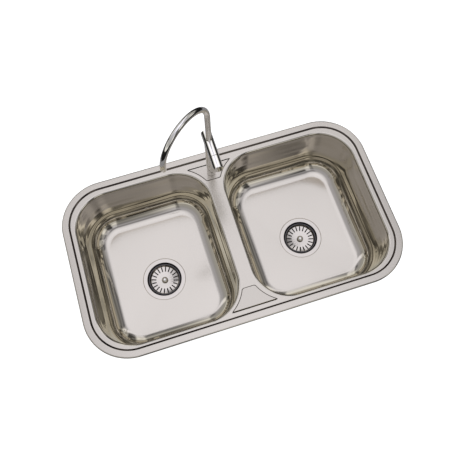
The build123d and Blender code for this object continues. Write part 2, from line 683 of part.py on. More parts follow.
with BuildPart() as spout_set_screw:
    with BuildSketch(set_screw_plane):
        Circle(SET_SCREW_TIP_R)
    extrude(amount=COLUMN_R - SET_SCREW_SUNK)
    with BuildSketch(set_screw_plane.offset(SOCKET_R + SET_SCREW_GAP)):
        Circle(SET_SCREW_R)
    extrude(amount=COLUMN_R - SET_SCREW_SUNK - SOCKET_R - SET_SCREW_GAP)
    with BuildSketch(tap_foot.offset(SOCKET_Z)):
        Circle(TUBE_R - SET_GROOVE_DEPTH + SET_SCREW_GAP)
    extrude(amount=SOCKET_DEPTH, mode=Mode.SUBTRACT)
export(spout_set_screw, "spout_set_screw")

with BuildPart() as spout_o_rings:
    for groove in (1, 2):
        with BuildSketch(tap_foot.offset(SOCKET_Z + groove * O_RING_SPACING)):
            Circle(SOCKET_R + O_RING_WIRE)
            Circle(SOCKET_R, mode=Mode.SUBTRACT)
        extrude(amount=O_RING_WIRE)
export(spout_o_rings, "spout_o_rings")

spout_plane = Plane(
    (0, TAP_Y, 0),
    x_dir=(cos(radians(SPOUT_TURN)), sin(radians(SPOUT_TURN)), 0),
    z_dir=(sin(radians(SPOUT_TURN)), -cos(radians(SPOUT_TURN)), 0),
)
with BuildPart() as tap_spout:
    with BuildLine(spout_plane) as route:
        Line((0, TUBE_END_Z), (0, BEND_Z))
        ThreePointArc(
            (0, BEND_Z), (SPOUT_BEND_R, BEND_Z + SPOUT_BEND_R), (2 * SPOUT_BEND_R, BEND_Z)
        )
        Line((2 * SPOUT_BEND_R, BEND_Z), (2 * SPOUT_BEND_R, BEND_Z - SPOUT_DROP))
    with BuildSketch(tap_foot.offset(TUBE_END_Z)):
        Circle(TUBE_R)
        Circle(TUBE_R - TUBE_WALL, mode=Mode.SUBTRACT)
    sweep()
    with BuildSketch(tap_foot.offset(SOCKET_Z + (O_RING_SPACING - SET_GROOVE_WIDTH) / 2)):
        Circle(TUBE_R)
        Circle(TUBE_R - SET_GROOVE_DEPTH, mode=Mode.SUBTRACT)
    extrude(amount=SET_GROOVE_WIDTH, mode=Mode.SUBTRACT)
export(tap_spout, "tap_spout")

outlet_x = 2 * SPOUT_BEND_R * cos(radians(SPOUT_TURN))
outlet_y = TAP_Y + 2 * SPOUT_BEND_R * sin(radians(SPOUT_TURN))
with BuildPart() as flow_straightener:
    with BuildSketch(Plane((outlet_x, outlet_y, BEND_Z - SPOUT_DROP + STRAIGHTENER_SUNK))):
        Circle(TUBE_R - TUBE_WALL)
        Circle(STRAIGHTENER_HOLE_R, mode=Mode.SUBTRACT)
        with PolarLocations(STRAIGHTENER_CIRCLE_R, STRAIGHTENER_HOLES):
            Circle(STRAIGHTENER_HOLE_R, mode=Mode.SUBTRACT)
    extrude(amount=STRAIGHTENER_LENGTH)
export(flow_straightener, "flow_straightener")

with BuildPart() as tap_cartridge:
    with BuildSketch(barrel_front.offset(CARTRIDGE_DEPTH)):
        Circle(CARTRIDGE_R)
    extrude(amount=-CARTRIDGE_DEPTH)
    with BuildSketch(barrel_front):
        RegularPolygon(CARTRIDGE_NECK_R, 6)
    extrude(amount=-CARTRIDGE_NECK)
    with BuildSketch(barrel_front.offset(-CARTRIDGE_NECK)):
        Circle(STEM_R + STEM_FIT)
    extrude(amount=CARTRIDGE_NECK + CARTRIDGE_DEPTH - STEM_STOP, mode=Mode.SUBTRACT)
export(tap_cartridge, "tap_cartridge")

stem_front = knob_face.offset(KNOB_FACE_T)
grub_plane = Plane((0, BARREL_FRONT_Y + GRUB_BACK, BARREL_Z), z_dir=(0, 0, -1))
with BuildPart() as tap_stem:
    with BuildSketch(stem_front):
        Circle(STEM_R)
    extrude(amount=KNOB_LENGTH + CARTRIDGE_DEPTH - STEM_STOP - KNOB_FACE_T)
export(tap_stem, "tap_stem")

with BuildPart() as tap_knob:
    with BuildSketch(knob_face):
        Circle(BARREL_R)
    extrude(amount=KNOB_LENGTH)
    chamfer(tap_knob.faces().sort_by(Axis.Y)[-1].edges(), TAP_EDGE_R / 2)
    fillet(tap_knob.faces().sort_by(Axis.Y)[0].edges(), TAP_EDGE_R)
    with BuildSketch(knob_face.offset(KNOB_LENGTH)):
        Circle(CARTRIDGE_NECK_R + KNOB_BORE_GAP)
    extrude(amount=KNOB_HUB - KNOB_LENGTH, mode=Mode.SUBTRACT)
    with BuildSketch(stem_front):
        Circle(STEM_R)
    extrude(amount=KNOB_LENGTH, mode=Mode.SUBTRACT)
    with BuildSketch(grub_plane):
        Circle(GRUB_R)
    extrude(amount=BARREL_R + CUT_PAST, mode=Mode.SUBTRACT)
export(tap_knob, "tap_knob")

with BuildPart() as knob_grub_screw:
    with BuildSketch(grub_plane.offset(STEM_R)):
        Circle(GRUB_R)
    extrude(amount=BARREL_R - STEM_R - GRUB_SUNK)
export(knob_grub_screw, "knob_grub_screw")

TAP_FIXINGS = {
    "tap_base_seal": ring(SHANK_R + SHANK_HOLE_GAP, COLUMN_R, COLUMN_Z, BASE_SEAL_T),
    "tap_shank": turned(
        (SHANK_BORE_R, COLUMN_Z + SHANK_ENGAGED),
        (SHANK_R, COLUMN_Z + SHANK_ENGAGED),
        (SHANK_R, SHANK_GROOVE_Z),
        (SHANK_R - SHANK_GROOVE, SHANK_GROOVE_Z),
        (SHANK_R - SHANK_GROOVE, SHANK_GROOVE_Z - SHANK_GROOVE),
        (SHANK_R, SHANK_GROOVE_Z - SHANK_GROOVE),
        (SHANK_R, -SHANK_BELOW),
        (SHANK_BORE_R, -SHANK_BELOW),
    ),
    "tap_rubber_washer": ring(
        SHANK_R + SHANK_HOLE_GAP, TAP_WASHER_R, PANEL_UNDERSIDE, TAP_RUBBER_T
    ),
    "tap_metal_washer": ring(
        SHANK_R + THREAD_GAP, TAP_WASHER_R, PANEL_UNDERSIDE - TAP_RUBBER_T, TAP_METAL_T
    ),
}
with BuildPart() as shank_nut:
    with BuildSketch(Plane.XY.offset(TAP_NUT_TOP)):
        RegularPolygon(TAP_NUT_FLATS / 2, 6, major_radius=False)
        Circle(SHANK_R + THREAD_GAP, mode=Mode.SUBTRACT)
    extrude(amount=-TAP_NUT_HEIGHT)
TAP_FIXINGS["tap_locknut"] = shank_nut.part
for name, piece in TAP_FIXINGS.items():
    with BuildPart() as placed:
        with Locations((0, TAP_Y, 0)):
            add(piece)
    export(placed, name)
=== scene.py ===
"""Looks of the double bowl kitchen sink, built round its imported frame.

Metres, in the frame's own axes: +X to the right, +Y to the tap, +Z up from the worktop.
"""

from contextlib import contextmanager
from dataclasses import dataclass, replace
from enum import Enum
from math import atan2, cos, degrees, hypot, pi, radians, sin, tan
from typing import Callable, Iterable, Iterator
import json
import logging

import bmesh
import bpy
from bpy.types import Material, NodeSocket, NodeTree, Object, ShaderNode
from mathutils import Matrix, Vector


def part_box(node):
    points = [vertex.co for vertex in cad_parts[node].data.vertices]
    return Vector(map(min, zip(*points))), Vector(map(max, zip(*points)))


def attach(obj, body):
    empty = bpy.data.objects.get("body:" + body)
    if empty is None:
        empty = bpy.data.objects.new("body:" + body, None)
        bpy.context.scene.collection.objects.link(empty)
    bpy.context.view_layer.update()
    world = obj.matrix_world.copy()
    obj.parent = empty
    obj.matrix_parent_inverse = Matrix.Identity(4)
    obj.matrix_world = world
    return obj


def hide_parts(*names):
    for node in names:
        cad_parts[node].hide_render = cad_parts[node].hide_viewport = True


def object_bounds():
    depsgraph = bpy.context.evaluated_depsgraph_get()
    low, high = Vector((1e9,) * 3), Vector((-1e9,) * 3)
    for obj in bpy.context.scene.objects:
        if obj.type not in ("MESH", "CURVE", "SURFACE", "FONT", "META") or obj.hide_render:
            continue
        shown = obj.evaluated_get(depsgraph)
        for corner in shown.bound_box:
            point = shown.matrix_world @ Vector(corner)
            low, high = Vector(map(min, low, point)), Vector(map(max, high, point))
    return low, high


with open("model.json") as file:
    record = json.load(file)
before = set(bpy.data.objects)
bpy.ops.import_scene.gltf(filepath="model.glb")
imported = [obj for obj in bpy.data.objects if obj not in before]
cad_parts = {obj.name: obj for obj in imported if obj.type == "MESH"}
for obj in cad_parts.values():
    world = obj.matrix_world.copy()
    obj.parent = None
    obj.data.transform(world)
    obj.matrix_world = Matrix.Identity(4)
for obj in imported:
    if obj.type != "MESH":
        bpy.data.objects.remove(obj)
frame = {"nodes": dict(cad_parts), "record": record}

CAD_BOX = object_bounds()
log = logging.getLogger("sink")

MM = 0.001
IMAGE_SIDE = 452
SMOOTH_ANGLE = radians(35)
TURN_STEPS = 96
SMALL_TURN_STEPS = 64
MERGE = 0.002 * MM
LEVEL_REACH = 0.02 * MM
TOUCH = 0.01 * MM
LONG_SIDE = 0.9
PAINTED_SHADE = "painted_shade_edge"
BOWL_FOOT = -0.16
BLACK = (0, 0, 0, 1)
WHITE = (1, 1, 1, 1)

Colour = tuple[float, float, float]
Span = tuple[float, float]
Stops = tuple[Span, ...]


class Slot(str, Enum):
    """Material slots of the record."""

    STEEL = "stainless_steel"
    POLISHED = "polished_steel"
    CHROME = "chrome"
    BRASS = "brass"
    ZINC = "zinc_steel"
    RUBBER = "black_rubber"
    FOAM = "grey_foam"
    WHITE = "white_plastic"
    BLACK = "black_plastic"


# ---------------------------------------------------------------- modelling by operators
def deselect() -> None:
    """Leaves no object selected."""
    bpy.ops.object.select_all(action="DESELECT")


def make_active(obj: Object) -> None:
    """Selects one object alone.

    Args:
        obj: the object that the next operator acts on.
    """
    deselect()
    obj.select_set(True)
    bpy.context.view_layer.objects.active = obj


@contextmanager
def editing(obj: Object, kind: str = "FACE") -> Iterator[None]:
    """Holds one object in edit mode, with all of it selected at first.

    Args:
        obj: the mesh object to edit.
        kind: the select mode, VERT, EDGE or FACE.
    """
    make_active(obj)
    bpy.ops.object.mode_set(mode="EDIT")
    bpy.ops.mesh.select_mode(type=kind)
    take_all()
    yield
    bpy.ops.object.mode_set(mode="OBJECT")


def take_all() -> None:
    """Selects the whole of the edited mesh."""
    bpy.ops.mesh.select_all(action="SELECT")


def pick(obj: Object, kind: str, test: Callable) -> None:
    """Selects the parts of the edited mesh that pass a test, and nothing else.

    Args:
        obj: the object in edit mode.
        kind: VERT or EDGE.
        test: takes one bmesh element and says whether it is wanted.
    """
    bpy.ops.mesh.select_mode(type=kind)
    bpy.ops.mesh.select_all(action="DESELECT")
    mesh = bmesh.from_edit_mesh(obj.data)
    elements = mesh.verts if kind == "VERT" else mesh.edges
    for element in [element for element in elements if test(element)]:
        element.select_set(True)
    mesh.select_flush_mode()
    bmesh.update_edit_mesh(obj.data)


def on_level(*heights: float) -> Callable:
    """A test for open edges that lie at one of the given heights."""
    return lambda edge: edge.is_boundary and any(
        all(abs(v.co.z - height) < LEVEL_REACH for v in edge.verts) for height in heights
    )


def mend(inside: bool = False) -> None:
    """Merges the edited mesh's doubled points and turns its faces one way.

    Args:
        inside: whether the faces turn inwards.
    """
    take_all()
    bpy.ops.mesh.remove_doubles(threshold=MERGE)
    bpy.ops.mesh.normals_make_consistent(inside=inside)


def look_up(obj: Object, rank: Callable) -> None:
    """Turns an edited sheet over if it lies upside down.

    Args:
        obj: the object in edit mode, with all of it selected.
        rank: gives each face a number; the face with the highest has to look up.
    """
    if max(bmesh.from_edit_mesh(obj.data).faces, key=rank).normal.z < 0:
        bpy.ops.mesh.flip_normals()


def apply_modifier(obj: Object, kind: str, **settings: object) -> None:
    """Adds one modifier to an object and applies it.

    Args:
        obj: the mesh object.
        kind: the modifier's type, such as SOLIDIFY.
        settings: the modifier's own settings.
    """
    make_active(obj)
    modifier = obj.modifiers.new(kind.lower(), kind)
    for name, value in settings.items():
        setattr(modifier, name, value)
    bpy.ops.object.modifier_apply(modifier=modifier.name)


def thicken(obj: Object, gauge: float) -> None:
    """Gives an open sheet its gauge, on the side that it turns its back to."""
    apply_modifier(obj, "SOLIDIFY", thickness=gauge, offset=-1, use_even_offset=True)


def cut(obj: Object, tool: Object, operation: str = "DIFFERENCE") -> None:
    """Combines a mesh with a second one, which is then removed.

    Args:
        obj: the mesh that stays.
        tool: the mesh that is used up.
        operation: DIFFERENCE or UNION.
    """
    apply_modifier(obj, "BOOLEAN", object=tool, operation=operation, solver="EXACT")
    bpy.data.objects.remove(tool)


def join(first: Object, *others: Object) -> Object:
    """Joins meshes into one.

    Args:
        first: the mesh that takes in the others.
        others: the meshes that are used up.

    Returns:
        The first mesh.
    """
    make_active(first)
    for other in others:
        other.select_set(True)
    bpy.ops.object.join()
    return first


def smooth(obj: Object) -> Object:
    """Gives smooth shading with crisp edges, in which flat faces stay flat.

    Args:
        obj: the finished mesh.

    Returns:
        The same mesh.
    """
    make_active(obj)
    bpy.ops.object.shade_smooth_by_angle(angle=SMOOTH_ANGLE)
    apply_modifier(obj, "WEIGHTED_NORMAL", mode="FACE_AREA", keep_sharp=True)
    return obj


def mark_painted_shade(obj: Object, level: Callable) -> None:
    """Gives a mesh the attribute that painted dark shade is read from.

    Args:
        obj: the mesh.
        level: takes one vertex and gives its level from 0 to 1.
    """
    marks = obj.data.attributes.new(PAINTED_SHADE, "FLOAT", "POINT")
    for vertex, mark in zip(obj.data.vertices, marks.data):
        mark.value = level(vertex)


def standing(node: str) -> tuple[float, float]:
    """Gives the middle of a node of the frame, seen from above."""
    low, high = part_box(node)
    return (low.x + high.x) / 2, (low.y + high.y) / 2


class Section:
    """A section drawn by straight runs and tangent bends.

    A heading of 0 runs inwards, 90 up, -90 down and 180 outwards.
    """

    def __init__(self, radius: float = 0.0, height: float = 0.0, heading: float = 0.0) -> None:
        """Starts the section at a distance from the axis and a height."""
        self.points: list[tuple[float, float]] = [(radius, height)]
        self.heading = heading

    def run(self, length: float, parts: int = 1) -> "Section":
        """Adds a straight run along the heading.

        Args:
            length: of the run.
            parts: number of equal pieces that it is made of.

        Returns:
            The section itself.
        """
        turn = radians(self.heading)
        for _ in range(parts):
            radius, height = self.points[-1]
            step = length / parts
            self.points.append((radius - step * cos(turn), height + step * sin(turn)))
        return self

    def bend(self, radius: float, heading: float, parts: int) -> "Section":
        """Adds an arc that turns the section to a new heading.

        Args:
            radius: of the arc.
            heading: at the arc's end, in degrees.
            parts: number of straight pieces that the arc is made of.

        Returns:
            The section itself.
        """
        side = 1 if heading > self.heading else -1
        last = radians(self.heading)
        for part in range(1, parts + 1):
            turn = radians(self.heading + (heading - self.heading) * part / parts)
            inward = side * radius * (sin(turn) - sin(last))
            up = side * radius * (cos(last) - cos(turn))
            self.points.append((self.points[-1][0] - inward, self.points[-1][1] + up))
            last = turn
        self.heading = heading
        return self

    def slant(self, radius: float, slope: float, climb: float, parts: int) -> "Section":
        """Bends off the level, climbs or falls along a slope, and bends back to level.

        Args:
            radius: of both bends.
            slope: in degrees, below 0 for a fall.
            climb: height from the one level to the other.
            parts: number of straight pieces that each bend is made of.

        Returns:
            The section itself.
        """
        turn = radians(abs(slope))
        self.bend(radius, slope, parts)
        self.run((climb - 2 * radius * (1 - cos(turn))) / sin(turn))
        return self.bend(radius, 0, parts)

    def to(self, *points: tuple[float, float]) -> "Section":
        """Adds straight lines to points, and heads the way of the last line.

        Args:
            points: each as a distance from the axis and a height.

        Returns:
            The section itself.
        """
        for radius, height in points:
            last_radius, last_height = self.points[-1]
            self.heading = degrees(atan2(height - last_height, last_radius - radius))
            self.points.append((radius, height))
        return self

    def moves(self) -> list[tuple[float, float]]:
        """The section as moves inwards and up."""
        pairs = zip(self.points, self.points[1:])
        return [(start[0] - end[0], end[1] - start[1]) for start, end in pairs]


@dataclass(frozen=True)
class RoundedOutline:
    """A rectangle with round corners, level, at a place."""

    length: float
    width: float
    corner: float
    centre: tuple[float, float, float]
    corner_steps: int = 36
    side_cuts: int = 15

    def plate(self, name: str) -> Object:
        """Makes the outline as one level face that looks up.

        Args:
            name: of the new object.

        Returns:
            The new object, with its origin at the frame's.
        """
        deselect()
        bpy.ops.mesh.primitive_plane_add(size=1, location=self.centre)
        obj = bpy.context.object
        obj.name = name
        bpy.ops.object.transform_apply(location=True)
        shortest = LONG_SIDE * (min(self.length, self.width) - 2 * self.corner)
        with editing(obj, "VERT"):
            bpy.ops.transform.resize(
                value=(self.length, self.width, 1), center_override=self.centre
            )
            bpy.ops.mesh.bevel(
                offset=self.corner, affect="VERTICES", segments=self.corner_steps
            )
            if self.side_cuts:
                pick(obj, "EDGE", lambda edge: edge.calc_length() > shortest)
                bpy.ops.mesh.subdivide(number_cuts=self.side_cuts, ngon=True)
        return obj


def step_inwards(section: Section) -> None:
    """Insets the selected face ring by ring along a section."""
    for inward, up in section.moves():
        bpy.ops.mesh.inset(
            thickness=inward, depth=up, use_boundary=True, use_even_offset=True
        )


def press(name: str, outline: RoundedOutline, section: Section) -> Object:
    """Presses a section round an outline and leaves the middle open.

    Args:
        name: of the new object.
        outline: where the section starts.
        section: what is pressed, from the outline inwards.

    Returns:
        The new open sheet.
    """
    sheet = outline.plate(name)
    with editing(sheet):
        step_inwards(section)
        bpy.ops.mesh.delete(type="FACE")
    return sheet


def chain(name: str, start: Iterable[float], moves: Iterable) -> Object:
    """Draws a chain of edges by extruding one point.

    Args:
        name: of the new object.
        start: where the point stands first.
        moves: the steps that it is extruded by.

    Returns:
        The new object.
    """
    deselect()
    bpy.ops.mesh.primitive_plane_add(size=MM)
    obj = bpy.context.object
    obj.name = name
    with editing(obj, "VERT"):
        bpy.ops.mesh.merge(type="CENTER")
        bpy.ops.transform.translate(value=start)
        for move in moves:
            bpy.ops.mesh.extrude_vertices_move(TRANSFORM_OT_translate={"value": move})
    return obj


def turned(
    name: str,
    section: Section,
    centre: tuple[float, float] = (0.0, 0.0),
    steps: int = TURN_STEPS,
) -> Object:
    """Spins a section round an upright axis into a closed piece.

    Args:
        name: of the new object.
        section: the outline, as distances from the axis and heights.
        centre: where the axis stands.
        steps: number of faces round the piece.

    Returns:
        The new object, with its faces outwards.
    """
    radius, height = section.points[0]
    moves = [(-inward, 0, up) for inward, up in section.moves()]
    obj = chain(name, (radius, 0, height), moves)
    with editing(obj, "VERT"):
        bpy.ops.mesh.spin(steps=steps, angle=2 * pi, center=(0, 0, 0), axis=(0, 0, 1))
        take_all()
        bpy.ops.transform.translate(value=(*centre, 0))
        mend()
    return obj


def lay_along_y(obj: Object, end: tuple[float, float, float]) -> Object:
    """Tips a piece turned round the Z axis so that its top faces -Y.

    Args:
        obj: the piece, turned round the frame's Z axis.
        end: where the piece's own origin goes.

    Returns:
        The piece, with its place in its mesh.
    """
    obj.rotation_euler = (radians(90), 0, 0)
    obj.location = end
    make_active(obj)
    bpy.ops.object.transform_apply(location=True, rotation=True)
    return obj


def settle(obj: Object, body: str, material: Material, node: str) -> None:
    """Puts a finished piece in the frame in place of its node.

    Args:
        obj: the piece.
        body: the body that it moves with.
        material: its finish.
        node: the node that the piece stands for.
    """
    obj.data.materials.clear()
    obj.data.materials.append(material)
    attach(obj, body)
    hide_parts(node)
    log.info("%s: %d faces, rides on %s", obj.name, len(obj.data.polygons), body)


# ---------------------------------------------------------------- finishes
def new_group(name: str, inputs: dict[str, float], outputs: tuple[str, ...]) -> NodeTree:
    """Makes an empty shader group with its sockets.

    Args:
        name: of the group.
        inputs: each value input with its default.
        outputs: the names of its value outputs.

    Returns:
        The group, holding only its input and output nodes.
    """
    group = bpy.data.node_groups.new(name, "ShaderNodeTree")
    for socket, value in inputs.items():
        made = group.interface.new_socket(
            name=socket, in_out="INPUT", socket_type="NodeSocketFloat"
        )
        made.default_value = value
    for socket in outputs:
        group.interface.new_socket(
            name=socket, in_out="OUTPUT", socket_type="NodeSocketFloat"
        )
    group.nodes.new("NodeGroupInput")
    group.nodes.new("NodeGroupOutput")
    return group


def fill(node: ShaderNode, inputs: dict) -> None:
    """Links each of a node's inputs to a socket, or sets it to a value.

    Args:
        node: the shader node.
        inputs: for each input's name or number, a value or an output socket.
    """
    for key, value in inputs.items():
        if isinstance(value, NodeSocket):
            node.id_data.links.new(value, node.inputs[key])
        else:
            node.inputs[key].default_value = value


def add_node(
    tree: NodeTree, kind: str, inputs: dict | None = None, **settings: object
) -> ShaderNode:
    """Adds a shader node, sets it and links or fills its inputs.

    Args:
        tree: the material's or the group's node tree.
        kind: the node's type.
        inputs: what fill() is given.
        settings: the node's own settings.

    Returns:
        The new node.
    """
    node = tree.nodes.new(kind)
    for name, value in settings.items():
        setattr(node, name, value)
    fill(node, inputs or {})
    return node


def reckon(tree: NodeTree, operation: str, *values: float | NodeSocket) -> NodeSocket:
    """Adds a math node with the given operation over the values and gives its result."""
    inputs = dict(enumerate(values))
    return add_node(tree, "ShaderNodeMath", inputs, operation=operation).outputs[0]


def remap(
    tree: NodeTree, value: NodeSocket, span: Span, result: Span = (0.0, 1.0)
) -> NodeSocket:
    """Stretches the values over one span to those over another, and gives the result."""
    inputs = {"Value": value, 1: span[0], 2: span[1], 3: result[0], 4: result[1]}
    return add_node(tree, "ShaderNodeMapRange", inputs).outputs[0]


def blend(
    tree: NodeTree, share: NodeSocket, under: tuple | NodeSocket, upper: tuple | NodeSocket
) -> NodeSocket:
    """Lays one colour over another by a share, and gives the result."""
    inputs = {"Factor": share, 6: under, 7: upper}
    return add_node(tree, "ShaderNodeMix", inputs, data_type="RGBA").outputs[2]


def scale(tree: NodeTree, colour: tuple | NodeSocket, amount: NodeSocket) -> NodeSocket:
    """Makes a colour stronger or weaker by an amount, and gives the result."""
    inputs = {0: colour, "Scale": amount}
    return add_node(tree, "ShaderNodeVectorMath", inputs, operation="SCALE").outputs[0]


def object_place(tree: NodeTree, *scales: float | NodeSocket) -> NodeSocket:
    """Gives the place on a piece, which keeps to the piece as it moves.

    Args:
        tree: the node tree that it goes in.
        scales: what each of the three axes is multiplied by, or nothing.

    Returns:
        The place's socket.
    """
    place = add_node(tree, "ShaderNodeTexCoord").outputs["Object"]
    if not scales:
        return place
    squeeze = add_node(tree, "ShaderNodeCombineXYZ", dict(enumerate(scales))).outputs[0]
    inputs = {0: place, 1: squeeze}
    return add_node(tree, "ShaderNodeVectorMath", inputs, operation="MULTIPLY").outputs[0]


def noise(
    tree: NodeTree, place: NodeSocket, size: float | NodeSocket, detail: float, rough: float
) -> NodeSocket:
    """Adds a noise texture and gives its level."""
    inputs = {"Vector": place, "Scale": size, "Detail": detail, "Roughness": rough}
    return add_node(tree, "ShaderNodeTexNoise", inputs).outputs[0]


def bumps(tree: NodeTree, height: NodeSocket, strength: float, depth: float) -> ShaderNode:
    """Adds a bump node over a height."""
    inputs = {"Height": height, "Strength": strength, "Distance": depth}
    return add_node(tree, "ShaderNodeBump", inputs)


def add_ramp(tree: NodeTree, value: NodeSocket, stops: Stops) -> NodeSocket:
    """A grey ramp over a value.

    Args:
        tree: the node tree that it goes in.
        value: the socket that drives it.
        stops: places from 0 to 1 with their levels.

    Returns:
        The ramp's colour socket.
    """
    node = add_node(tree, "ShaderNodeValToRGB", {"Fac": value})
    elements = node.color_ramp.elements
    while len(elements) < len(stops):
        elements.new(0.5)
    for element, (place, level) in zip(elements, stops):
        element.position = place
        element.color = (level, level, level, 1)
    return node.outputs["Color"]


def build_grain() -> NodeTree:
    """The shared polishing grain: fine lines along one direction, with a slower drift.

    Returns:
        A group that gives a mask of the lines and one of the drift.
    """
    group = new_group(
        "polishing_grain",
        {"Fineness": 900.0, "Stretch": 18.0, "Drift Size": 9.0},
        ("Lines", "Drift"),
    )
    given = group.nodes["Group Input"].outputs
    across = reckon(group, "DIVIDE", 1.0, given["Stretch"])
    along = object_place(group, across, 1.0, 1.0)
    lines = noise(group, along, given["Fineness"], detail=4.0, rough=0.6)
    drift = noise(group, object_place(group), given["Drift Size"], detail=3.0, rough=0.55)
    fill(group.nodes["Group Output"], {"Lines": lines, "Drift": drift})
    return group


def build_waves() -> NodeTree:
    """The shared drawing waves: long shallow ripples that lie one above another on a wall.

    Returns:
        A group that gives the height of the waves.
    """
    group = new_group("drawing_waves", {"Closeness": 22.0, "Reach": 0.12}, ("Height",))
    given = group.nodes["Group Input"].outputs
    along = object_place(group, given["Reach"], given["Reach"], 1.0)
    height = noise(group, along, given["Closeness"], detail=1.0, rough=0.4)
    fill(group.nodes["Group Output"], {"Height": height})
    return group


def build_speckle() -> NodeTree:
    """The shared skin of moulded pieces: fine pits with patches of handling.

    Returns:
        A group that gives a mask of the patches and a height of the pits.
    """
    group = new_group(
        "moulded_skin", {"Pit Size": 2200.0, "Patch Size": 60.0}, ("Patches", "Height")
    )
    given = group.nodes["Group Input"].outputs
    place = object_place(group)
    pits = add_node(
        group, "ShaderNodeTexVoronoi", {"Vector": place, "Scale": given["Pit Size"]}
    )
    patches = noise(group, place, given["Patch Size"], detail=5.0, rough=0.6)
    fill(group.nodes["Group Output"], {"Patches": patches, "Height": pits.outputs["Distance"]})
    return group


GRAIN = build_grain()
WAVES = build_waves()
SPECKLE = build_speckle()


def place_group(tree: NodeTree, group: NodeTree, inputs: dict[str, float]) -> dict:
    """Places a shared group in a material.

    Args:
        tree: the material's node tree.
        group: the shared group.
        inputs: this material's own values.

    Returns:
        The group's outputs by name.
    """
    node = tree.nodes.new("ShaderNodeGroup")
    node.node_tree = group
    fill(node, inputs)
    return node.outputs


@dataclass(frozen=True)
class Finish:
    """What every finish has: a name, two tones and how smooth and how rough it gets."""

    name: str
    colour: Colour
    shade: Colour
    roughness: Span

    def start(self) -> tuple[Material, NodeTree, ShaderNode]:
        """Makes the finish's material.

        Returns:
            The material, its node tree and its shader.
        """
        made = bpy.data.materials.new(self.name)
        made.use_nodes = True
        return made, made.node_tree, made.node_tree.nodes["Principled BSDF"]

    def tone(self, tree: NodeTree, share: NodeSocket) -> NodeSocket:
        """Drifts between the finish's two tones."""
        return blend(tree, share, (*self.shade, 1), (*self.colour, 1))


@dataclass(frozen=True)
class MetalFinish(Finish):
    """A bare or plated metal, polished along one direction."""

    fineness: float = 900.0
    stretch: float = 18.0
    drift_size: float = 9.0
    relief: float = 0.02
    relief_depth: float = 0.05 * MM
    mark_span: Span = (0.1, 0.4)
    waves: float = 0.0
    satin: float = 0.0
    level_span: Span = (0.93, 0.99)
    # Colour of the painted dark shade laid on the points that the attribute marks.
    edge_shade: Colour | None = None
    painted_deep_glow: Colour | None = None
    deep_from: float = 2.5
    deep_heights: Stops = ((0.0, 1.0), (1.0, 1.0))
    patch_span: Span = (0.36, 0.64)
    patch_gain: Span = (0.45, 1.35)

    def material(self) -> Material:
        """Builds the finish as a procedural material.

        Returns:
            The new material.
        """
        made, tree, shader = self.start()
        values = {
            "Fineness": self.fineness, "Stretch": self.stretch, "Drift Size": self.drift_size
        }
        grain = place_group(tree, GRAIN, values)
        tone = self.tone(tree, grain["Drift"])
        marks = reckon(tree, "MULTIPLY", grain["Lines"], grain["Drift"])
        rough = remap(tree, marks, self.mark_span, self.roughness)
        if self.satin:
            facing = add_node(tree, "ShaderNodeNewGeometry").outputs["True Normal"]
            level = add_node(tree, "ShaderNodeSeparateXYZ", {0: facing}).outputs["Z"]
            flat = remap(tree, level, self.level_span, (0.0, self.satin))
            rough = reckon(tree, "MAXIMUM", rough, flat)
        bump = bumps(tree, grain["Lines"], self.relief, self.relief_depth)
        if self.waves:
            ripple = bumps(tree, place_group(tree, WAVES, {})["Height"], 1.0, self.waves)
            fill(bump, {"Normal": ripple.outputs[0]})
        # Painted shade: marked points turn towards a dark colour that stands in for the dark they
        # reflect.
        if self.edge_shade:
            mark = add_node(tree, "ShaderNodeAttribute", attribute_name=PAINTED_SHADE).outputs["Fac"]
            tone = blend(tree, mark, tone, (*self.edge_shade, 1))
        # Painted light: rays deep in reflections end in an emission glow instead of bouncing on.
        if self.painted_deep_glow:
            tone = self.add_painted_deep_glow(shader, tone, grain["Drift"])
        fill(
            shader,
            {"Base Color": tone, "Roughness": rough, "Normal": bump.outputs[0], "Metallic": 1.0},
        )
        return made

    def add_painted_deep_glow(
        self, shader: ShaderNode, tone: NodeSocket, drift: NodeSocket
    ) -> NodeSocket:
        """Ends light that has been reflected often in a painted glow, an emission that follows
        the height in place of the light that further bounces would bring.

        Args:
            shader: the metal's shader, which gets the glow.
            tone: the metal's own colour.
            drift: the mask that makes the glow patchy.

        Returns:
            The metal's colour, black for such light.
        """
        tree = shader.id_data
        depth = add_node(tree, "ShaderNodeLightPath").outputs["Ray Depth"]
        deep = reckon(tree, "GREATER_THAN", depth, self.deep_from)
        height = add_node(tree, "ShaderNodeSeparateXYZ", {0: object_place(tree)}).outputs["Z"]
        level = add_ramp(tree, remap(tree, height, (BOWL_FOOT, 0.0)), self.deep_heights)
        patches = remap(tree, drift, self.patch_span, self.patch_gain)
        amount = reckon(tree, "MULTIPLY", deep, reckon(tree, "MULTIPLY", level, patches))
        glow = scale(tree, self.painted_deep_glow, amount)
        fill(shader, {"Emission Color": glow, "Emission Strength": 1.0})
        return blend(tree, deep, tone, BLACK)


@dataclass(frozen=True)
class MouldedFinish(Finish):
    """A rubber, foam or plastic with a fine moulded skin."""

    pit_size: float = 2200.0
    relief: float = 0.15
    relief_depth: float = 0.1 * MM
    handled_span: Span = (0.3, 0.7)

    def material(self) -> Material:
        """Builds the finish as a procedural material.

        Returns:
            The new material.
        """
        made, tree, shader = self.start()
        skin = place_group(tree, SPECKLE, {"Pit Size": self.pit_size})
        patches = skin["Patches"]
        rough = remap(tree, patches, self.handled_span, self.roughness)
        bump = bumps(tree, skin["Height"], self.relief, self.relief_depth)
        tone = self.tone(tree, patches)
        fill(shader, {"Base Color": tone, "Roughness": rough, "Normal": bump.outputs[0]})
        return made


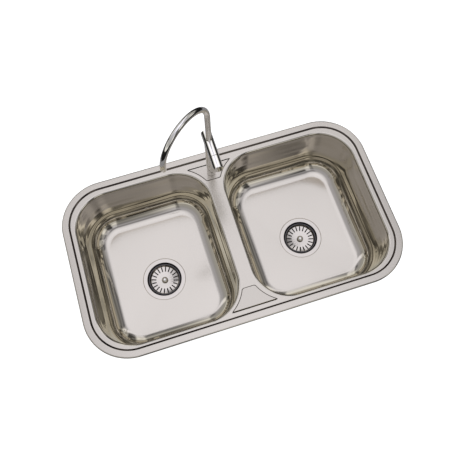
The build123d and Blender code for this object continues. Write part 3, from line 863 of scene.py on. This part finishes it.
FINISHES: dict[Slot, MetalFinish | MouldedFinish] = {
    Slot.STEEL: MetalFinish(
        "satin_steel", (0.67, 0.62, 0.54), (0.65, 0.60, 0.52), roughness=(0.045, 0.065),
        relief=0.003, waves=3.5 * MM, satin=0.16,
        # The bowl steel's painted glow, stronger near the floor and near the rim.
        painted_deep_glow=(0.60, 0.59, 0.54), deep_from=1.5,
        deep_heights=(
            (0.0, 0.95), (0.04, 0.85), (0.11, 0.45), (0.20, 0.22),
            (0.66, 0.26), (0.88, 0.75), (1.0, 0.8),
        ),
    ),
    Slot.POLISHED: MetalFinish(
        "polished_steel", (0.68, 0.63, 0.56), (0.64, 0.59, 0.52), roughness=(0.06, 0.10),
        # A faint painted glow ends the polished steel's deep reflections.
        fineness=1400.0, stretch=4.0, relief=0.005, painted_deep_glow=(0.14, 0.14, 0.14),
    ),
    Slot.CHROME: MetalFinish(
        "chrome_plate", (0.95, 0.92, 0.87), (0.92, 0.89, 0.84), roughness=(0.02, 0.05),
        fineness=1400.0, stretch=1.0, drift_size=22.0, relief=0.002,
    ),
    Slot.BRASS: MetalFinish(
        "machined_brass", (0.72, 0.53, 0.25), (0.60, 0.43, 0.19), roughness=(0.22, 0.38),
        fineness=1800.0, stretch=1.0, drift_size=40.0, relief=0.1,
    ),
    Slot.ZINC: MetalFinish(
        "zinc_plate", (0.58, 0.60, 0.62), (0.48, 0.50, 0.51), roughness=(0.28, 0.45),
        fineness=700.0, stretch=1.0, drift_size=55.0, relief=0.1,
    ),
    Slot.RUBBER: MouldedFinish(
        "black_rubber", (0.03, 0.03, 0.03), (0.045, 0.044, 0.042), roughness=(0.6, 0.8)
    ),
    Slot.FOAM: MouldedFinish(
        "grey_foam", (0.27, 0.27, 0.27), (0.2, 0.2, 0.2), roughness=(0.8, 0.95),
        pit_size=900.0, relief=0.6,
    ),
    Slot.WHITE: MouldedFinish(
        "white_plastic", (0.78, 0.78, 0.75), (0.7, 0.7, 0.67), roughness=(0.35, 0.5)
    ),
    Slot.BLACK: MouldedFinish(
        "black_plastic", (0.035, 0.035, 0.037), (0.05, 0.05, 0.05), roughness=(0.35, 0.5)
    ),
}
MATERIALS: dict[Slot, Material] = {slot: finish.material() for slot, finish in FINISHES.items()}
# The deck's steel, with painted dark shade on the slopes of its step and panels.
DECK_STEEL = replace(
    FINISHES[Slot.STEEL], name="deck_steel", satin=0.26, edge_shade=(0.10, 0.085, 0.07)
).material()
# The waste's steel, with painted dark shade inside the cup's mouth and on the basket's collar and
# rim.
WASTE_STEEL = replace(
    FINISHES[Slot.POLISHED], name="waste_steel", edge_shade=(0.07, 0.065, 0.065)
).material()


# ---------------------------------------------------------------- pressed sheet
@dataclass
class SinkSheet:
    """Sizes that the deck and the bowls share, with the rim's own taken from the frame."""

    thickness: float = 1.0 * MM
    opening_length: float = 348.0 * MM
    opening_width: float = 393.0 * MM
    opening_corner: float = 94.0 * MM
    roll: float = 6.0 * MM
    collar_depth: float = 12.0 * MM
    step_height: float = 3.0 * MM
    rim_bottom: float = 0.5 * MM
    bowl_depth: float = 160.0 * MM

    def __post_init__(self) -> None:
        """Reads the places that the frame holds."""
        low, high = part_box("deck")
        self.rim_length = high.x - low.x
        self.rim_width = high.y - low.y
        self.rim_top = high.z
        self.deck_top = self.rim_top - self.step_height
        self.collar_bottom = self.deck_top - self.collar_depth
        self.floor_z = self.deck_top - self.bowl_depth
        self.bowl_x, self.bowl_y = standing("right_bowl")
        self.waste_x, self.waste_y = standing("right_strainer_body")

    def opening(self, side: int, inset: float, height: float) -> RoundedOutline:
        """A bowl's opening, made smaller by an inset, at a height."""
        return RoundedOutline(
            self.opening_length - 2 * inset,
            self.opening_width - 2 * inset,
            self.opening_corner - inset,
            (side * self.bowl_x, self.bowl_y, height),
        )


@dataclass
class Deck:
    """The pressed top: lip, border, step, deck, panels and rolled mouths."""

    sheet: SinkSheet
    rim_corner: float = 110.0 * MM
    lip: float = 3.5 * MM
    flange_band: float = 17.0 * MM
    step_angle: float = 45.0
    step_bend: float = 4.0 * MM
    panel_offset: float = 6.0 * MM
    panel_short_y: float = 142.5 * MM
    panel_tip: float = 13.0 * MM
    panel_short_corner: float = 5.0 * MM
    panel_rise: float = 1.2 * MM
    panel_bend: float = 1.4 * MM
    panel_slope: float = 45.0
    rear_panel: Span = (188.5 * MM, 0.0)
    front_panel: Span = (193.0 * MM, -3.0 * MM)
    arc_from: float = 0.2
    arc_step: float = 0.065
    arc_points: int = 11
    mark_margin: float = 0.05 * MM
    mark_tilt: float = 0.03
    corner_reach: float = 0.1 * MM

    def border(self) -> Object:
        """Presses the outer ring, from the turned-down lip in to the foot of the step.

        Returns:
            The ring, open in the middle.
        """
        sheet = self.sheet
        tangent = self.step_bend * tan(radians(self.step_angle / 2))
        section = Section(heading=90)
        section.run(sheet.rim_top - sheet.rim_bottom - self.lip)
        section.bend(self.lip, 0, parts=8)
        section.run(self.flange_band - self.lip - tangent)
        section.slant(self.step_bend, -self.step_angle, sheet.step_height, parts=5)
        outline = RoundedOutline(
            sheet.rim_length,
            sheet.rim_width,
            self.rim_corner,
            (0, 0, sheet.rim_bottom),
            corner_steps=26,
        )
        return press("deck_sheet", outline, section)

    def rolled_mouth(self, side: int) -> Object:
        """Rolls a bowl's mouth over and down to the end of its collar.

        Args:
            side: 1 for the right bowl, -1 for the left one.

        Returns:
            The mouth, open at its foot.
        """
        sheet = self.sheet
        section = Section(heading=0).bend(sheet.roll, -90, parts=12)
        section.run(sheet.collar_depth - sheet.roll)
        return press("mouth", sheet.opening(side, 0, sheet.deck_top), section)

    def panel(self, side: int, long_y: float, shift: float) -> Object:
        """Embosses a panel whose slanted sides follow the bowls' corners.

        Args:
            side: 1 for the rear panel, -1 for the front one.
            long_y: how far the long edge is from the sink's middle.
            shift: how far the panel stands to the right of the middle.

        Returns:
            The panel, open at its foot.
        """
        sheet = self.sheet
        corner_x = sheet.bowl_x - sheet.opening_length / 2 + sheet.opening_corner
        corner_y = side * sheet.bowl_y + sheet.opening_width / 2 - sheet.opening_corner
        radius = sheet.opening_corner + self.panel_offset
        start, end = (
            atan2(y - corner_y, -((radius**2 - (y - corner_y) ** 2) ** 0.5))
            for y in (long_y, self.panel_short_y)
        )
        inner = [self.arc_from + self.arc_step * part for part in range(self.arc_points)]
        turns = [start + (end - start) * share for share in (0, *inner, 1)]
        right = [(corner_x + radius * cos(a), corner_y + radius * sin(a)) for a in turns]
        outline = right + [(-x, y) for x, y in reversed(right)]
        points = [Vector((x + shift, side * y, sheet.deck_top)) for x, y in outline]
        moves = [here - last for last, here in zip(points, points[1:])]
        made = chain("panel", points[0], moves)
        with editing(made, "VERT"):
            bpy.ops.mesh.edge_face_add()
            take_all()
            look_up(made, lambda face: face.calc_area())
            for (x, y), corner in (
                (right[0], self.panel_tip),
                (right[-1], self.panel_short_corner),
            ):
                pick(
                    made,
                    "VERT",
                    lambda v: abs(abs(v.co.x - shift) - abs(x)) < self.corner_reach
                    and abs(v.co.y - side * y) < self.corner_reach,
                )
                bpy.ops.mesh.bevel(offset=corner, affect="VERTICES", segments=8)
            bpy.ops.mesh.select_mode(type="FACE")
            take_all()
            section = Section()
            section.slant(self.panel_bend, self.panel_slope, self.panel_rise, parts=3)
            step_inwards(section)
        return made

    def build(self) -> Object:
        """Joins the pressed pieces with the level deck and gives the sheet its gauge.

        Returns:
            The finished deck.
        """
        mouths = [self.rolled_mouth(side) for side in (-1, 1)]
        panels = [self.panel(1, *self.rear_panel), self.panel(-1, *self.front_panel)]
        deck = join(self.border(), *mouths, *panels)
        with editing(deck, "EDGE"):
            pick(deck, "EDGE", on_level(self.sheet.deck_top))
            bpy.ops.mesh.fill(use_beauty=True)
            mend()
            look_up(deck, lambda face: face.calc_area())
        thicken(deck, self.sheet.thickness)
        # The slopes of the step and the panels are marked for painted dark shade.
        mark_painted_shade(deck, self.pressed)
        return smooth(deck)

    def pressed(self, vertex: bpy.types.MeshVertex) -> float:
        """Finds the slopes of the step and the panels, which get painted dark shade.

        Args:
            vertex: a point of the finished deck.

        Returns:
            How far the point belongs to such a slope, from 0 to 1.
        """
        sheet = self.sheet
        x, y, z = vertex.co
        if not sheet.deck_top + self.mark_margin < z < sheet.rim_top - self.mark_margin:
            return 0.0
        beyond_x = max(abs(x) - sheet.rim_length / 2 + self.rim_corner, 0)
        beyond_y = max(abs(y) - sheet.rim_width / 2 + self.rim_corner, 0)
        if hypot(beyond_x, beyond_y) >= self.rim_corner - self.flange_band + self.step_bend:
            return 0.0
        return min((1 - min(abs(vertex.normal.z), 1.0)) / self.mark_tilt, 1.0)

    def dress(self, deck: Object) -> None:
        """Puts the deck in the frame."""
        settle(deck, "sink", DECK_STEEL, "deck")


@dataclass
class Bowl:
    """One drawn bowl with drafted walls, a round foot and a falling floor."""

    sheet: SinkSheet
    hand: str
    side: int
    draft: float = 3.0
    entry: float = 8.0 * MM
    floor_bend: float = 46.0 * MM
    floor_fall: float = 1.0
    floor_rise: float = 2.0 * MM
    recess: float = 56.5 * MM
    recess_depth: float = 3.0 * MM
    hole: float = 45.5 * MM
    well_bend: float = 0.8 * MM
    well_slope: float = 80.0

    def build(self) -> Object:
        """Draws the bowl down from its collar and closes its floor round the waste.

        Returns:
            The finished bowl.
        """
        sheet = self.sheet
        section = Section(0, sheet.collar_bottom, -90)
        section.bend(self.entry / radians(self.draft), self.draft - 90, parts=3)
        drop = self.floor_bend * (cos(radians(self.floor_fall)) - sin(radians(self.draft)))
        foot = sheet.floor_z + self.floor_rise + drop
        section.run((section.points[-1][1] - foot) / cos(radians(self.draft)), 6)
        section.bend(self.floor_bend, -self.floor_fall, parts=24)
        outline = sheet.opening(self.side, sheet.roll, sheet.collar_bottom)
        bowl = outline.plate(f"{self.hand}_bowl_shell")
        centre = (self.side * sheet.waste_x, sheet.waste_y, sheet.floor_z)
        rounds = 4 * (outline.corner_steps + 1 + outline.side_cuts)
        with editing(bowl):
            step_inwards(section)
            bpy.ops.mesh.delete(type="ONLY_FACE")
            bpy.ops.mesh.primitive_circle_add(
                vertices=rounds, radius=self.recess, fill_type="NGON", location=centre
            )
            bpy.ops.mesh.select_mode(type="FACE")
            step_inwards(self.well())
            bpy.ops.mesh.delete(type="FACE")
            pick(bowl, "EDGE", on_level(section.points[-1][1], sheet.floor_z))
            bpy.ops.mesh.bridge_edge_loops(number_cuts=6, interpolation="LINEAR")
            mend(inside=True)
            look_up(bowl, lambda face: -face.calc_center_median().z)
        thicken(bowl, sheet.thickness)
        return smooth(bowl)

    def well(self) -> Section:
        """Draws the recess that the waste's flange lies in.

        Returns:
            The section, from the recess's edge in to the hole.
        """
        well = Section().slant(self.well_bend, -self.well_slope, self.recess_depth, parts=4)
        spent = sum(inward for inward, _ in well.moves())
        return well.run(self.recess - self.hole - spent)

    def dress(self, bowl: Object) -> None:
        """Puts the bowl in the frame."""
        settle(bowl, "sink", MATERIALS[Slot.STEEL], f"{self.hand}_bowl")


# ---------------------------------------------------------------- basket waste
@dataclass
class BasketWaste:
    """One 3 1/2 inch waste: flanged cup, lift-out basket and its knob."""

    hand: str
    mouth: float = 43.5 * MM
    mouth_roll: float = 2.5 * MM
    flange_edge: float = 0.6 * MM
    flange_gauge: float = 1.5 * MM
    wall: float = 1.2 * MM
    ledge: float = 26.5 * MM
    bore: float = 21.0 * MM
    thread: float = 23.9 * MM
    straight: float = 29.0 * MM
    cup_depth: float = 42.0 * MM
    slots: int = 20
    slot_width: float = 3.0 * MM
    slot_inner: float = 22.8 * MM
    slot_outer: float = 35.6 * MM
    slot_round: float = 0.49
    basket_steps: int = 120
    gauge: float = 0.8 * MM
    floor_radius: float = 22.0 * MM
    slope_radius: float = 36.5 * MM
    slope_rise: float = 2.8 * MM
    collar_radius: float = 39.6 * MM
    ring_start: float = 0.1 * MM
    ring_share: float = 0.7
    foot_radius: float = 9.0 * MM
    foot_gauge: float = 1.5 * MM
    stem: float = 3.0 * MM
    neck: float = 5.5 * MM
    knob: float = 8.25 * MM
    dome: float = 6.0 * MM

    def __post_init__(self) -> None:
        """Reads the places that the frame holds."""
        low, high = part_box(f"{self.hand}_strainer_body")
        self.centre = standing(f"{self.hand}_strainer_body")
        self.flange = (high.x - low.x) / 2
        self.top = high.z
        self.bottom = low.z

    def cup(self) -> Object:
        """Turns the flanged cup, open at both ends.

        Returns:
            The finished cup.
        """
        under = self.top - self.flange_gauge
        outer = self.mouth + self.wall
        ledge_z = self.top - self.cup_depth
        straight_z = self.top - self.straight
        section = Section(self.flange, under, 90)
        section.run(self.flange_gauge - self.flange_edge)
        section.bend(self.flange_edge, 0, parts=4)
        section.run(self.flange - self.flange_edge - self.mouth - self.mouth_roll)
        section.bend(self.mouth_roll, -90, parts=8)
        section.to(
            (self.mouth - self.wall, straight_z),
            (self.ledge, ledge_z),
            (self.bore, ledge_z),
            (self.bore, self.bottom),
            (self.thread, self.bottom),
            (self.thread, ledge_z - self.wall),
            (self.ledge + self.wall / 2, ledge_z - self.wall),
            (outer, straight_z - self.wall / 2),
            (outer, under),
            (self.flange, under),
        )
        cup = turned(f"{self.hand}_strainer_cup", section, self.centre)
        # The inside of the cup, up to its mouth roll, is marked for painted dark shade.
        self.mark_shade_ring(cup, self.ledge, self.mouth + self.ring_share * self.mouth_roll)
        return smooth(cup)

    def slot_cutters(self, low: float, high: float) -> Object:
        """Makes one slot's cutter and repeats it round the basket.

        Args:
            low: level of the cutters' foot.
            high: level of their top.

        Returns:
            All the cutters in one mesh.
        """
        middle = (self.slot_inner + self.slot_outer) / 2
        outline = RoundedOutline(
            self.slot_outer - self.slot_inner,
            self.slot_width,
            self.slot_round * self.slot_width,
            (middle, 0, low),
            corner_steps=6,
            side_cuts=0,
        )
        cutters = outline.plate("slots")
        share = (self.slots - 1) / self.slots
        with editing(cutters):
            bpy.ops.mesh.extrude_region_move(TRANSFORM_OT_translate={"value": (0, 0, high - low)})
            take_all()
            bpy.ops.mesh.spin(
                steps=self.slots - 1,
                dupli=True,
                angle=2 * pi * share,
                center=(0, 0, 0),
                axis=(0, 0, 1),
            )
            take_all()
            bpy.ops.transform.translate(value=(*self.centre, 0))
            bpy.ops.mesh.normals_make_consistent(inside=False)
        return cutters

    def basket(self) -> Object:
        """Turns the dished basket with its steep collar and rim, and cuts the slots.

        Returns:
            The finished basket.
        """
        low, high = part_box(f"{self.hand}_basket")
        half = self.gauge / 2
        rim_radius = (high.x - low.x) / 2
        slope_z = low.z + self.slope_rise
        section = Section(0, low.z, 180)
        section.to(
            (self.floor_radius, low.z),
            (self.slope_radius, slope_z),
            (self.collar_radius, high.z - self.gauge),
            (rim_radius - half, high.z - self.gauge),
        )
        section.heading = 180
        section.bend(half, 0, parts=6)
        section.to(
            (self.collar_radius - self.gauge, high.z),
            (self.slope_radius - self.gauge, slope_z + half),
            (self.floor_radius - half, low.z + self.gauge),
            (0, low.z + self.gauge),
        )
        dish = turned(f"{self.hand}_basket_dish", section, self.centre, self.basket_steps)
        cut(dish, self.slot_cutters(low.z - self.gauge, high.z))
        # The basket's collar and rim are marked for painted dark shade.
        self.mark_shade_ring(dish, self.slope_radius + self.ring_start, rim_radius)
        return smooth(dish)

    def mark_shade_ring(self, obj: Object, inner: float, outer: float) -> None:
        """Marks the ring between the basket and the flange, which gets painted dark shade.

        Args:
            obj: the piece that gets the attribute which its material reads.
            inner: least distance of a marked point from the waste's axis.
            outer: greatest distance.
        """
        x, y = self.centre
        mark_painted_shade(
            obj, lambda v: float(inner < hypot(v.co.x - x, v.co.y - y) < outer + TOUCH)
        )

    def post(self) -> Object:
        """Turns the lifting knob with its stem and foot.

        Returns:
            The finished post.
        """
        low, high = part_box(f"{self.hand}_basket_post")
        stopper_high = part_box(f"{self.hand}_basket_stopper")[1]
        dish_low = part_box(f"{self.hand}_basket")[0]
        foot_top = low.z + self.foot_gauge
        dome_radius = (self.knob**2 + self.dome**2) / (2 * self.dome)
        rise = degrees(2 * atan2(self.dome, self.knob))
        section = Section(0, low.z, 180)
        section.to(
            (self.foot_radius, low.z),
            (self.foot_radius, foot_top),
            (self.stem, foot_top),
            (self.stem, stopper_high.z),
            (self.neck, stopper_high.z),
            (self.neck, dish_low.z),
            (self.stem, dish_low.z),
            (self.stem, high.z - self.dome),
            (self.knob, high.z - self.dome),
        )
        section.heading = rise
        section.bend(dome_radius, 0, parts=12)
        section.points[-1] = (0, high.z)
        knob = turned(f"{self.hand}_basket_knob", section, self.centre, SMALL_TURN_STEPS)
        return smooth(knob)

    def dress(self, cup: Object, basket: Object, post: Object) -> None:
        """Puts the waste's visible pieces in the frame.

        Args:
            cup: the flanged cup.
            basket: the slotted basket.
            post: the basket's knob and stem.
        """
        settle(cup, "sink", WASTE_STEEL, f"{self.hand}_strainer_body")
        stopper = f"{self.hand}_stopper"
        settle(basket, stopper, WASTE_STEEL, f"{self.hand}_basket")
        settle(post, stopper, MATERIALS[Slot.CHROME], f"{self.hand}_basket_post")


# ---------------------------------------------------------------- tap
@dataclass
class Tap:
    """The tap's plated pieces: upright column with level barrel, turning knob and bent spout."""

    column: float = 11.0 * MM
    chamfer: float = 0.5 * MM
    face_edge: float = 1.0 * MM
    knob_bore: float = 9.4 * MM
    knob_hub: float = 9.0 * MM
    tube: float = 6.35 * MM
    tube_wall: float = 1.0 * MM
    socket_gap: float = 0.05 * MM
    socket_depth: float = 26.0 * MM
    cartridge: float = 9.2 * MM
    cartridge_depth: float = 24.0 * MM
    spout_turn: float = 216.5
    spout_bend: float = 73.0 * MM
    spout_drop: float = 6.0 * MM
    tube_sides: int = 48
    bend_steps: int = 72
    outlet_edge: float = 0.2 * MM

    def __post_init__(self) -> None:
        """Reads the places that the frame holds."""
        knob_low, knob_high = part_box("tap_knob")
        body_low, body_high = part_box("tap_body")
        spout_low, spout_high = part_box("tap_spout")
        self.barrel = (knob_high.x - knob_low.x) / 2
        self.axis_z = (knob_high.z + knob_low.z) / 2
        self.knob_front = knob_low.y
        self.knob_back = knob_high.y
        self.body_front = body_low.y
        self.body_back = body_high.y
        self.foot_z = body_low.z
        self.column_y = standing("tap_shank")[1]
        self.tube_foot = spout_low.z
        self.bend_z = spout_high.z - self.tube - self.spout_bend

    def body(self) -> Object:
        """Turns the column and the barrel, joins them and cuts the spout's socket.

        Returns:
            The finished body.
        """
        length = self.body_back - self.body_front
        barrel = Section().to(
            (self.barrel - self.chamfer, 0),
            (self.barrel, self.chamfer),
            (self.barrel, length - self.chamfer),
            (self.barrel - self.chamfer, length),
            (self.cartridge, length),
            (self.cartridge, length - self.cartridge_depth),
            (0, length - self.cartridge_depth),
        )
        body = turned("tap_barrel", barrel)
        lay_along_y(body, (0, self.body_back, self.axis_z))
        column = Section(0, self.foot_z).to(
            (self.column - self.chamfer / 2, self.foot_z),
            (self.column, self.foot_z + self.chamfer / 2),
            (self.column, self.axis_z),
            (0, self.axis_z),
        )
        cut(body, turned("column", column, (0, self.column_y)), "UNION")
        socket = self.tube + self.socket_gap
        top = self.axis_z + self.barrel
        hollow = Section(0, top - self.socket_depth).to(
            (socket, top - self.socket_depth), (socket, top + MM), (0, top + MM)
        )
        cut(body, turned("socket", hollow, (0, self.column_y), SMALL_TURN_STEPS))
        return smooth(body)

    def knob(self) -> Object:
        """Turns the knob that makes the barrel's front third.

        Returns:
            The finished knob.
        """
        length = self.knob_back - self.knob_front
        section = Section(0, length - self.knob_hub).to(
            (self.knob_bore, length - self.knob_hub),
            (self.knob_bore, 0),
            (self.barrel - self.chamfer, 0),
            (self.barrel, self.chamfer),
            (self.barrel, length - self.face_edge),
        )
        section.bend(self.face_edge, 0, parts=6).to((0, length))
        knob = turned("tap_handle", section)
        return smooth(lay_along_y(knob, (0, self.knob_back, self.axis_z)))

    def spout(self) -> Object:
        """Extrudes the riser, spins the bend and gives the tube its bore.

        Returns:
            The finished spout.
        """
        turn = radians(self.spout_turn)
        away = Vector((cos(turn), sin(turn), 0))
        foot = Vector((0, self.column_y, self.tube_foot))
        centre = Vector((0, self.column_y, self.bend_z)) + away * self.spout_bend
        deselect()
        bpy.ops.mesh.primitive_circle_add(
            vertices=self.tube_sides, radius=self.tube, location=foot, rotation=(0, 0, turn)
        )
        spout = bpy.context.object
        spout.name = "spout_tube"
        bpy.ops.object.transform_apply(location=True, rotation=True)
        with editing(spout, "EDGE"):
            bpy.ops.mesh.extrude_region_move(
                TRANSFORM_OT_translate={"value": (0, 0, self.bend_z - self.tube_foot)}
            )
            bpy.ops.mesh.spin(
                steps=self.bend_steps,
                angle=pi,
                center=centre,
                axis=away.cross(Vector((0, 0, 1))),
            )
            bpy.ops.mesh.extrude_region_move(
                TRANSFORM_OT_translate={"value": (0, 0, -self.spout_drop)}
            )
            mend()
        thicken(spout, self.tube_wall)
        apply_modifier(spout, "BEVEL", width=self.outlet_edge, segments=2, limit_method="ANGLE")
        return smooth(spout)

    def dress(self, body: Object, knob: Object, spout: Object) -> None:
        """Puts the tap's plated pieces in the frame.

        Args:
            body: the column with the barrel.
            knob: the turning front of the barrel.
            spout: the bent tube.
        """
        chrome = MATERIALS[Slot.CHROME]
        settle(body, "sink", chrome, "tap_body")
        settle(knob, "knob", chrome, "tap_knob")
        settle(spout, "spout", chrome, "tap_spout")


# ---------------------------------------------------------------- carried pieces and the studio
def dress_carried_nodes() -> None:
    """Gives every node that stays in view the finish of its slot."""
    for subpart in frame["record"]["subparts"]:
        node = frame["nodes"][subpart["node"]]
        material = MATERIALS[Slot(subpart["material_slot"])]
        node.data.materials.clear()
        node.data.materials.append(material)
        log.info("%s keeps its mesh, in %s", node.name, material.name)


@dataclass
class Studio:
    """The pale floor, the soft light and the camera.

    Each sky is a grey over the height looked at, from level at 0 to straight up at 1.
    """

    azimuth: float = -16.35
    elevation: float = 69.99
    roll: float = -1.21
    distance: float = 1329.08 * MM
    aim: tuple[float, float, float] = (-7.70 * MM, 16.30 * MM, 0.0)
    focal_pixels: float = 547.97
    sensor: float = 36.0
    floor_size: float = 2.8
    floor_grey: float = 0.35
    floor_rough: float = 0.9
    low_tint: Colour = (1.0, 1.0, 0.97)
    high_tint: Colour = (0.985, 1.0, 1.12)
    tint_span: Span = (0.55, 0.85)
    front_sky: Stops = (
        (0.0, 0.01), (0.16, 0.02), (0.30, 0.48), (0.44, 0.28), (0.56, 0.54), (0.66, 0.36),
        (0.78, 0.48), (0.84, 0.50), (0.88, 0.32), (0.915, 0.32), (0.95, 0.85), (1.0, 1.14),
    )
    rear_sky: Stops = (
        (0.0, 0.01), (0.16, 0.02), (0.26, 0.36), (0.38, 0.26), (0.48, 0.50), (0.58, 0.58),
        (0.76, 0.62), (0.84, 0.72), (0.90, 1.0), (0.94, 1.06), (1.0, 1.14),
    )
    rear_span: Span = (-0.15, 0.12)
    right_sky: Stops = (
        (0.0, 0.01), (0.14, 0.02), (0.30, 0.45), (0.57, 0.52), (0.68, 0.42), (0.83, 0.46),
        (0.90, 0.62), (0.95, 1.0), (1.0, 1.14),
    )
    right_span: Span = (0.26, 0.42)
    left_sky: Stops = (
        (0.0, 0.01), (0.20, 0.02), (0.26, 0.80), (0.40, 0.80), (0.46, 0.45), (0.74, 0.42),
        (0.84, 0.50), (0.90, 0.50), (0.93, 0.64), (1.0, 1.14),
    )
    left_span: Span = (-0.11, -0.2)
    arch_sky: Stops = (
        (0.0, 0.01), (0.14, 0.02), (0.40, 0.08), (0.52, 0.70), (0.60, 1.05), (1.0, 1.14),
    )
    arch: float = 0.455
    arch_span: Span = (0.085, 0.035)
    room: Stops = ((0.0, 0.0), (0.25, 1.0), (0.78, 1.0), (0.90, 0.0), (1.0, 0.0))
    panes: float = 9.0
    pane_glow: float = 0.5
    pane_span: Span = (-0.4, 0.4)
    clutter: float = 1.1
    clutter_size: float = 2.6
    clutter_span: Span = (0.35, 0.65)
    darkest: float = -0.85
    lamp_place: tuple[float, float, float] = (-0.6, -0.3, 2.6)
    lamp_size: tuple[float, float] = (2.4, 1.6)
    lamp_power: float = 12.0
    lamp_colour: Colour = (1.0, 0.99, 0.98)

    def floor(self) -> None:
        """Lays the pale floor just under the lowest piece."""
        deselect()
        bpy.ops.mesh.primitive_plane_add(
            size=self.floor_size, location=(0, 0, CAD_BOX[0].z - MM)
        )
        floor = bpy.context.object
        floor.name = "floor"
        made = bpy.data.materials.new("pale_floor")
        made.use_nodes = True
        seen = add_node(made.node_tree, "ShaderNodeLightPath").outputs["Is Camera Ray"]
        fill(
            made.node_tree.nodes["Principled BSDF"],
            {
                "Base Color": (self.floor_grey, self.floor_grey, self.floor_grey, 1),
                "Roughness": self.floor_rough,
                "Emission Color": WHITE,
                "Emission Strength": seen,
            },
        )
        floor.data.materials.append(made)

    def sky(self) -> None:
        """Surrounds the scene with a bright ceiling, a room with windows and a dark horizon."""
        world = bpy.data.worlds.new("studio")
        bpy.context.scene.world = world
        world.use_nodes = True
        tree = world.node_tree
        place = add_node(tree, "ShaderNodeTexCoord").outputs["Generated"]
        x, y, z = add_node(tree, "ShaderNodeSeparateXYZ", {0: place}).outputs
        leftward = remap(tree, x, self.left_span)
        beside = reckon(tree, "ABSOLUTE", reckon(tree, "SUBTRACT", y, self.arch))
        arched = remap(tree, beside, self.arch_span)
        level = add_ramp(tree, z, self.front_sky)
        for share, stops in (
            (remap(tree, y, self.rear_span), self.rear_sky),
            (remap(tree, x, self.right_span), self.right_sky),
            (leftward, self.left_sky),
            (arched, self.arch_sky),
        ):
            level = blend(tree, share, level, add_ramp(tree, z, stops))
        plain = reckon(tree, "MAXIMUM", leftward, arched)
        rest = reckon(tree, "SUBTRACT", 1.0, plain)
        busy = reckon(tree, "MULTIPLY", add_ramp(tree, z, self.room), rest)
        pattern = self.room_pattern(tree, place, reckon(tree, "ARCTAN2", x, y))
        strength = reckon(tree, "MULTIPLY_ADD", busy, pattern, 1.0)
        high = remap(tree, z, self.tint_span)
        tint = blend(tree, high, (*self.low_tint, 1), (*self.high_tint, 1))
        light = add_node(
            tree, "ShaderNodeVectorMath", {0: level, 1: tint}, operation="MULTIPLY"
        )
        uneven = scale(tree, light.outputs[0], strength)
        seen = add_node(tree, "ShaderNodeLightPath").outputs["Is Camera Ray"]
        fill(tree.nodes["Background"], {"Color": blend(tree, seen, uneven, WHITE)})

    def room_pattern(
        self, tree: NodeTree, place: NodeSocket, bearing: NodeSocket
    ) -> NodeSocket:
        """Windows side by side and soft clutter, as a gain on the room's light.

        Args:
            tree: the world's node tree.
            place: the direction looked in.
            bearing: its angle round the upright axis.

        Returns:
            The gain, about zero on average.
        """
        wave = reckon(tree, "SINE", reckon(tree, "MULTIPLY", bearing, self.panes))
        glow = remap(tree, wave, self.pane_span, (-self.pane_glow, self.pane_glow))
        clutter = noise(tree, place, self.clutter_size, detail=2.0, rough=0.5)
        half = self.clutter / 2
        clutter = remap(tree, clutter, self.clutter_span, (-half, half))
        both = reckon(tree, "ADD", glow, clutter)
        return reckon(tree, "MAXIMUM", both, self.darkest)

    def lamp(self) -> None:
        """Hangs one soft area light that looks at the sink."""
        data = bpy.data.lights.new("overhead", "AREA")
        data.shape = "RECTANGLE"
        data.size, data.size_y = self.lamp_size
        data.energy = self.lamp_power
        data.color = self.lamp_colour
        lamp = bpy.data.objects.new("overhead", data)
        lamp.visible_glossy = False
        lamp.location = self.lamp_place
        lamp.rotation_euler = (-Vector(self.lamp_place)).to_track_quat("-Z", "Y").to_euler()
        bpy.context.scene.collection.objects.link(lamp)

    def camera(self) -> None:
        """Stands the camera where the photograph was taken from."""
        azimuth = radians(self.azimuth)
        elevation = radians(self.elevation)
        roll = radians(self.roll)
        back = Vector(
            (sin(azimuth) * cos(elevation), -cos(azimuth) * cos(elevation), sin(elevation))
        )
        right = Vector((cos(azimuth), sin(azimuth), 0))
        up = back.cross(right)
        turned_right = right * cos(roll) + up * sin(roll)
        turned_up = up * cos(roll) - right * sin(roll)
        data = bpy.data.cameras.new("camera")
        data.sensor_width = self.sensor
        data.lens = self.focal_pixels * self.sensor / IMAGE_SIDE
        camera = bpy.data.objects.new("camera", data)
        axes = Matrix((turned_right, turned_up, back)).transposed()
        camera.matrix_world = Matrix.Translation(
            Vector(self.aim) + back * self.distance
        ) @ axes.to_4x4()
        bpy.context.scene.collection.objects.link(camera)
        bpy.context.scene.camera = camera

    def build(self) -> None:
        """Sets up the whole studio."""
        self.floor()
        self.sky()
        self.lamp()
        self.camera()
        bpy.context.scene.view_settings.view_transform = "Standard"


def main() -> None:
    """Builds the studio and the sink's sub-assemblies in order."""
    logging.basicConfig(level=logging.INFO, format="%(name)s: %(message)s")
    Studio().build()
    dress_carried_nodes()
    sheet = SinkSheet()
    deck = Deck(sheet)
    deck.dress(deck.build())
    for hand, side in (("left", -1), ("right", 1)):
        bowl = Bowl(sheet, hand, side)
        bowl.dress(bowl.build())
        waste = BasketWaste(hand)
        waste.dress(waste.cup(), waste.basket(), waste.post())
    tap = Tap()
    tap.dress(tap.body(), tap.knob(), tap.spout())


if __name__ == "__main__":
    main()
